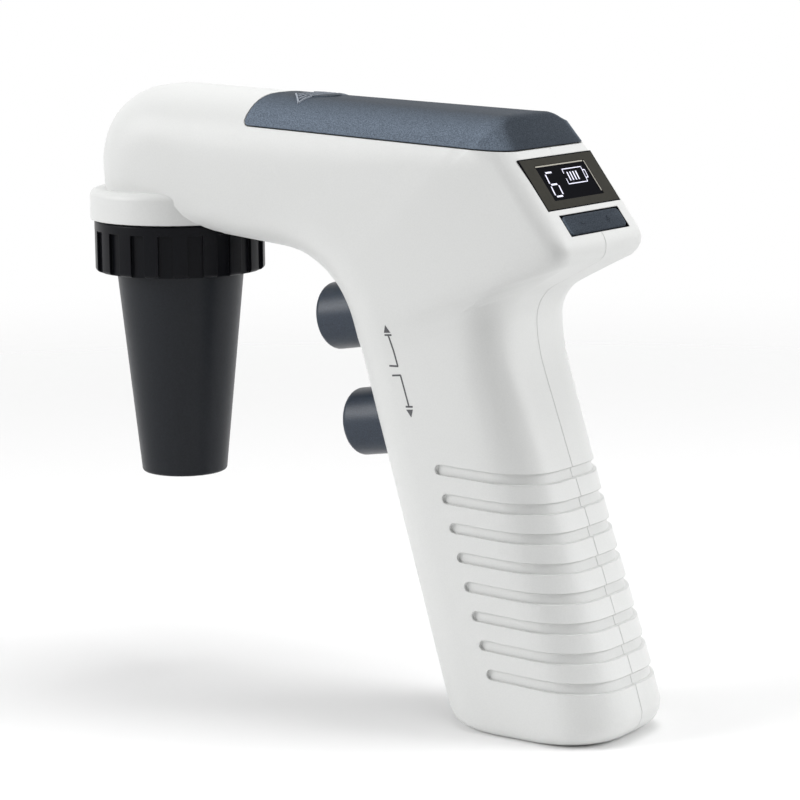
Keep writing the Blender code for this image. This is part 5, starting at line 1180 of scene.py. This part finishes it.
def make_battery_sign(level):
    """A battery outline with its terminal and four bars."""
    wide, tall = 8.0, 3.9
    knob = wide + 1.0
    lines = [
        ((0.0, 0.0), (wide, 0.0), 0.23),
        ((0.0, tall), (wide, tall), 0.23),
        ((0.0, 0.0), (0.0, 1.15), 0.23),
        ((0.0, 2.5), (0.0, tall), 0.23),
        ((wide, 0.0), (wide, tall), 0.23),
        ((wide, 0.9), (knob, 0.9), 0.26),
        ((knob, 0.9), (knob, 2.9), 0.26),
        ((wide, 2.9), (knob, 2.9), 0.26),
    ]
    lines += [((x, 0.85), (x, 3.1), 0.46) for x in (1.5, 2.7, 3.9, 5.1)]
    add_sign("display_battery_sign", (15.09 * MM, -0.36 * MM), lines, level)


def rocker_cap_mesh():
    """The rocker's cap with its round corners and rim."""
    rows = []
    for depth, inset in ((ROCKER_THICKNESS, 0.0), (0.45 * MM, 0.0), (0.30 * MM, 0.05 * MM),
                         (0.15 * MM, 0.15 * MM), (0.04 * MM, 0.32 * MM), (0.0, 0.5 * MM)):
        x, y = ROCKER_LENGTH / 2.0 - inset, ROCKER_HALF_WIDTH - inset
        radius = max(ROCKER_CORNER - inset, 0.25 * MM)
        outline = rounded([(-x, -y), (x, -y), (x, y), (-x, y)], [radius] * 4, 6)
        rows.append([(p, q, ROCKER_PROUD - depth) for p, q in outline])
    return skin_mesh("rocker_cap", rows)


def rocker_sign_mesh():
    """The raised minus and plus."""
    size = 0.85 * MM
    bar = 0.34 * MM
    lines = [((0.0, y - size), (0.0, y + size)) for y in (-ROCKER_SIGN_Y, ROCKER_SIGN_Y)]
    lines += [((low, ROCKER_SIGN_Y), (high, ROCKER_SIGN_Y))
              for low, high in ((-size, -bar / 2.0), (bar / 2.0, size))]
    shape = bmesh.new()
    for start, end in lines:
        add_bar(shape, start, end, bar, ROCKER_PROUD - 0.05 * MM, bar / 2.0)
    return finish_mesh("rocker_signs", shape, False)


def make_rocker():
    place = frame_at(DISPLAY, (ROCKER_START + ROCKER_LENGTH / 2.0, 0.0, 0.0), 0.0)
    add_piece("rocker_cap", placed(rocker_cap_mesh(), place), SLATE, "rocker",
              ("speed_rocker",))
    add_piece("rocker_signs", placed(rocker_sign_mesh(), place), SLATE, "rocker")


# Triggers


def make_triggers():
    flange_start = TRIGGER_LENGTH - TRIGGER_FLANGE_THICKNESS
    flange = TRIGGER_RADIUS + TRIGGER_FLANGE
    hollow = SPRING_RADIUS + SPRING_WIRE + 2.0 * GAP
    for name, place in TRIGGERS.items():
        profile = rounded([
            (0.0, 0.0),
            (TRIGGER_RADIUS, 0.0),
            (TRIGGER_RADIUS, flange_start),
            (flange, flange_start),
            (flange, TRIGGER_LENGTH),
            (hollow, TRIGGER_LENGTH),
            (hollow, TRIGGER_FACE),
            (0.0, TRIGGER_FACE),
        ], (0.0, 1.5 * TRIGGER_EDGE, 0.0, 0.2 * MM, 0.2 * MM, 0.0, 0.0, 0.0), 8)
        # The triggers take the darker slate copy, whose colour is painted shade
        add_piece(name + "_trigger_look", placed(turned_mesh(profile), place),
                  SHADED_TRIGGER_SLATE, name + "_button", (name + "_trigger",))


def make_springs():
    """Fine coils between the triggers and the block."""
    start = TRIGGER_FACE + GAP
    end = BLOCK_START - GAP
    count = SPRING_TURNS * SPRING_TURN_STEPS
    around = [2.0 * math.pi * i / SPRING_SIDES for i in range(SPRING_SIDES)]
    for name, place in TRIGGERS.items():
        rows = []
        for k in range(count + 1):
            t = k / count
            angle = 2.0 * math.pi * k / SPRING_TURN_STEPS
            outward = Vector((math.cos(angle), math.sin(angle), 0.0))
            rise = t - SPRING_END_CLOSING * math.sin(4.0 * math.pi * t)
            rise *= end - start - 2.0 * SPRING_WIRE
            middle = SPRING_RADIUS * outward + (start + SPRING_WIRE + rise) * UP
            rows.append([middle + SPRING_WIRE * (outward * math.cos(turn) + UP * math.sin(turn))
                         for turn in around])
        piece = add_piece(name + "_spring_look", placed(skin_mesh("coil", rows), place),
                          STEEL, "housing", (name + "_spring",))
        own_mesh(piece)


# Nosepiece


def make_nose():
    profile = rounded([
        (RING_RADIUS, RING_TOP),
        (RING_RADIUS, RING_BOTTOM),
        (CONE_TOP_RADIUS, RING_BOTTOM),
        (CONE_TIP_RADIUS, TIP_Z),
        (CONE_TIP_RADIUS - CONE_WALL, TIP_Z),
        (CONE_TOP_RADIUS - CONE_WALL, RING_BOTTOM),
        (RING_BORE, RING_BOTTOM),
        (RING_BORE, RING_TOP),
    ], (RING_EDGE / 2.0, RING_EDGE, 0.0, TIP_EDGE, 0.0, 0.0, 0.0, 0.0), 6)
    shape = bmesh.new()
    top = RING_TOP - RING_BAND
    bottom = RING_BOTTOM - MM
    size = Vector((2.0 * FLUTE_DEPTH, FLUTE_WIDTH, top - bottom))
    for k in range(FLUTE_COUNT):
        cube = bmesh.ops.create_cube(shape, size=1.0)["verts"]
        bmesh.ops.scale(shape, vec=size, verts=cube)
        bmesh.ops.translate(shape, vec=(RING_RADIUS, 0.0, (top + bottom) / 2.0), verts=cube)
        bmesh.ops.rotate(shape, verts=cube, cent=(0.0, 0.0, 0.0),
                         matrix=Matrix.Rotation(2.0 * math.pi * k / FLUTE_COUNT, 3, "Z"))
    flutes = finish_mesh("flutes", shape, False)
    mesh = carve("nosepiece_look", turned_mesh(profile, 8 * FLUTE_COUNT), [
        ("DIFFERENCE", flutes)])
    piece = add_piece("nosepiece_look", mesh, NOSE_FINISH, "nose", ("nosepiece",))
    # The ring's faces take the darker copy of the nose plastic: painted shade
    piece.data.materials.append(SHADED_RING_FINISH)
    ring_height = (NOSE @ Vector((0.0, 0.0, RING_BOTTOM - 0.1 * MM))).z
    for face in piece.data.polygons:
        if face.center.z > ring_height:
            face.material_index = 1


# Floor, light and camera

FLOOR_RADIUS = 1.4
FLOOR_FADE = (0.16, 0.75)
FLOOR_WHITE = (0.97, 0.97, 0.97, 1.0)
WHITE = (1.0, 1.0, 1.0, 1.0)
WORLD_LEVEL = 0.19
LAMP_DISTANCE = 1.1
LAMP_AIM = Vector((0.0, 0.0, 0.07))
LAMPS = (
    ("key_left", (-0.60, -0.67, 0.43), 0.6, 0.62),
    ("rear_right", (0.85, 0.42, 0.44), 0.6, 0.54),
    ("top", (0.05, 0.10, 1.0), 0.8, 0.62),
)
CAMERA_ANGLES = (35.43, 9.89, -0.51)
CAMERA_PLACE = (0.4506, -0.5396, 0.0736)
SENSOR = 36.0
FOCAL_PIXELS = 2832.0
PHOTO_PIXELS = 800.0


def make_floor():
    """A pale floor that keeps the shadow and fades into the white round it."""
    bpy.ops.mesh.primitive_circle_add(vertices=ROUND, radius=FLOOR_RADIUS, fill_type="NGON")
    floor = bpy.context.active_object
    floor.name = "studio_floor"
    finish = Finish("pale_floor", 0.9)
    finish.set(Specular_IOR_Level=0.1, Base_Color=FLOOR_WHITE)
    length = finish.node("ShaderNodeVectorMath", ((0, finish.place),), operation="LENGTH")
    fade = finish.node("ShaderNodeMapRange", (
        ("Value", length.outputs["Value"]), ("From Min", FLOOR_FADE[0]),
        ("From Max", FLOOR_FADE[1])),
        interpolation_type="SMOOTHSTEP")
    clear = finish.node("ShaderNodeBsdfTransparent")
    mix = finish.node("ShaderNodeMixShader", (
        ("Fac", fade.outputs["Result"]), (1, finish.shader.outputs["BSDF"]),
        (2, clear.outputs["BSDF"])))
    surface = finish.tree.nodes["Material Output"].inputs["Surface"]
    finish.tree.links.new(mix.outputs["Shader"], surface)
    floor.data.materials.append(finish.material)


def make_world(level):
    """Even light for the object, and plain white for what looks past it."""
    world = bpy.data.worlds.new("studio")
    bpy.context.scene.world = world
    world.use_nodes = True
    tree = world.node_tree
    even = tree.nodes["Background"]
    even.inputs["Color"].default_value = WHITE
    even.inputs["Strength"].default_value = level
    white = add_node(tree, "ShaderNodeBackground", (
        ("Strength", 1.0), ("Color", WHITE)))
    path = add_node(tree, "ShaderNodeLightPath")
    seen = path.outputs["Is Camera Ray"]
    for ray in ("Is Glossy Ray", "Is Transmission Ray"):
        seen = add_node(tree, "ShaderNodeMath", ((0, seen), (1, path.outputs[ray])),
                        operation="MAXIMUM").outputs["Value"]
    mix = add_node(tree, "ShaderNodeMixShader", (
        ("Fac", seen), (1, even.outputs["Background"]), (2, white.outputs["Background"])))
    tree.links.new(mix.outputs["Shader"], tree.nodes["World Output"].inputs["Surface"])


def add_lamp(name, direction, size, level):
    """A soft square lamp that lights a facing surface to a share of full white."""
    data = bpy.data.lights.new(name, "AREA")
    data.shape = "SQUARE"
    data.size = size
    data.energy = level * (math.pi * LAMP_DISTANCE) ** 2
    lamp = bpy.data.objects.new(name, data)
    way = Vector(direction).normalized()
    lamp.location = LAMP_AIM + way * LAMP_DISTANCE
    lamp.rotation_euler = (-way).to_track_quat("-Z", "Y").to_euler()
    bpy.context.scene.collection.objects.link(lamp)


def make_light():
    make_world(WORLD_LEVEL)
    for lamp in LAMPS:
        add_lamp(*lamp)


def make_camera():
    """The photograph's own view, as fitted to its outline."""
    azimuth, pitch, roll = (math.radians(angle) for angle in CAMERA_ANGLES)
    forward = Vector((-math.sin(azimuth) * math.cos(pitch),
                      math.cos(azimuth) * math.cos(pitch), -math.sin(pitch)))
    level = Vector((math.cos(azimuth), math.sin(azimuth), 0.0))
    upright = level.cross(forward)
    right = level * math.cos(roll) + upright * math.sin(roll)
    upward = upright * math.cos(roll) - level * math.sin(roll)
    turn = Matrix((right, upward, -forward)).transposed().to_4x4()
    data = bpy.data.cameras.new("photo_camera")
    data.sensor_width = SENSOR
    data.lens = FOCAL_PIXELS / PHOTO_PIXELS * SENSOR
    data.clip_start = 0.05
    camera = bpy.data.objects.new("photo_camera", data)
    camera.matrix_world = NOSE @ Matrix.Translation(CAMERA_PLACE) @ turn
    bpy.context.scene.collection.objects.link(camera)
    bpy.context.scene.camera = camera


make_camera()
make_light()
make_floor()
shell_surfaces = make_shells()
make_arrows(shell_surfaces["left_shell"])
make_cover()
make_display()
make_rocker()
make_triggers()
make_springs()
make_nose()
bpy.context.scene.view_settings.view_transform = "Standard"
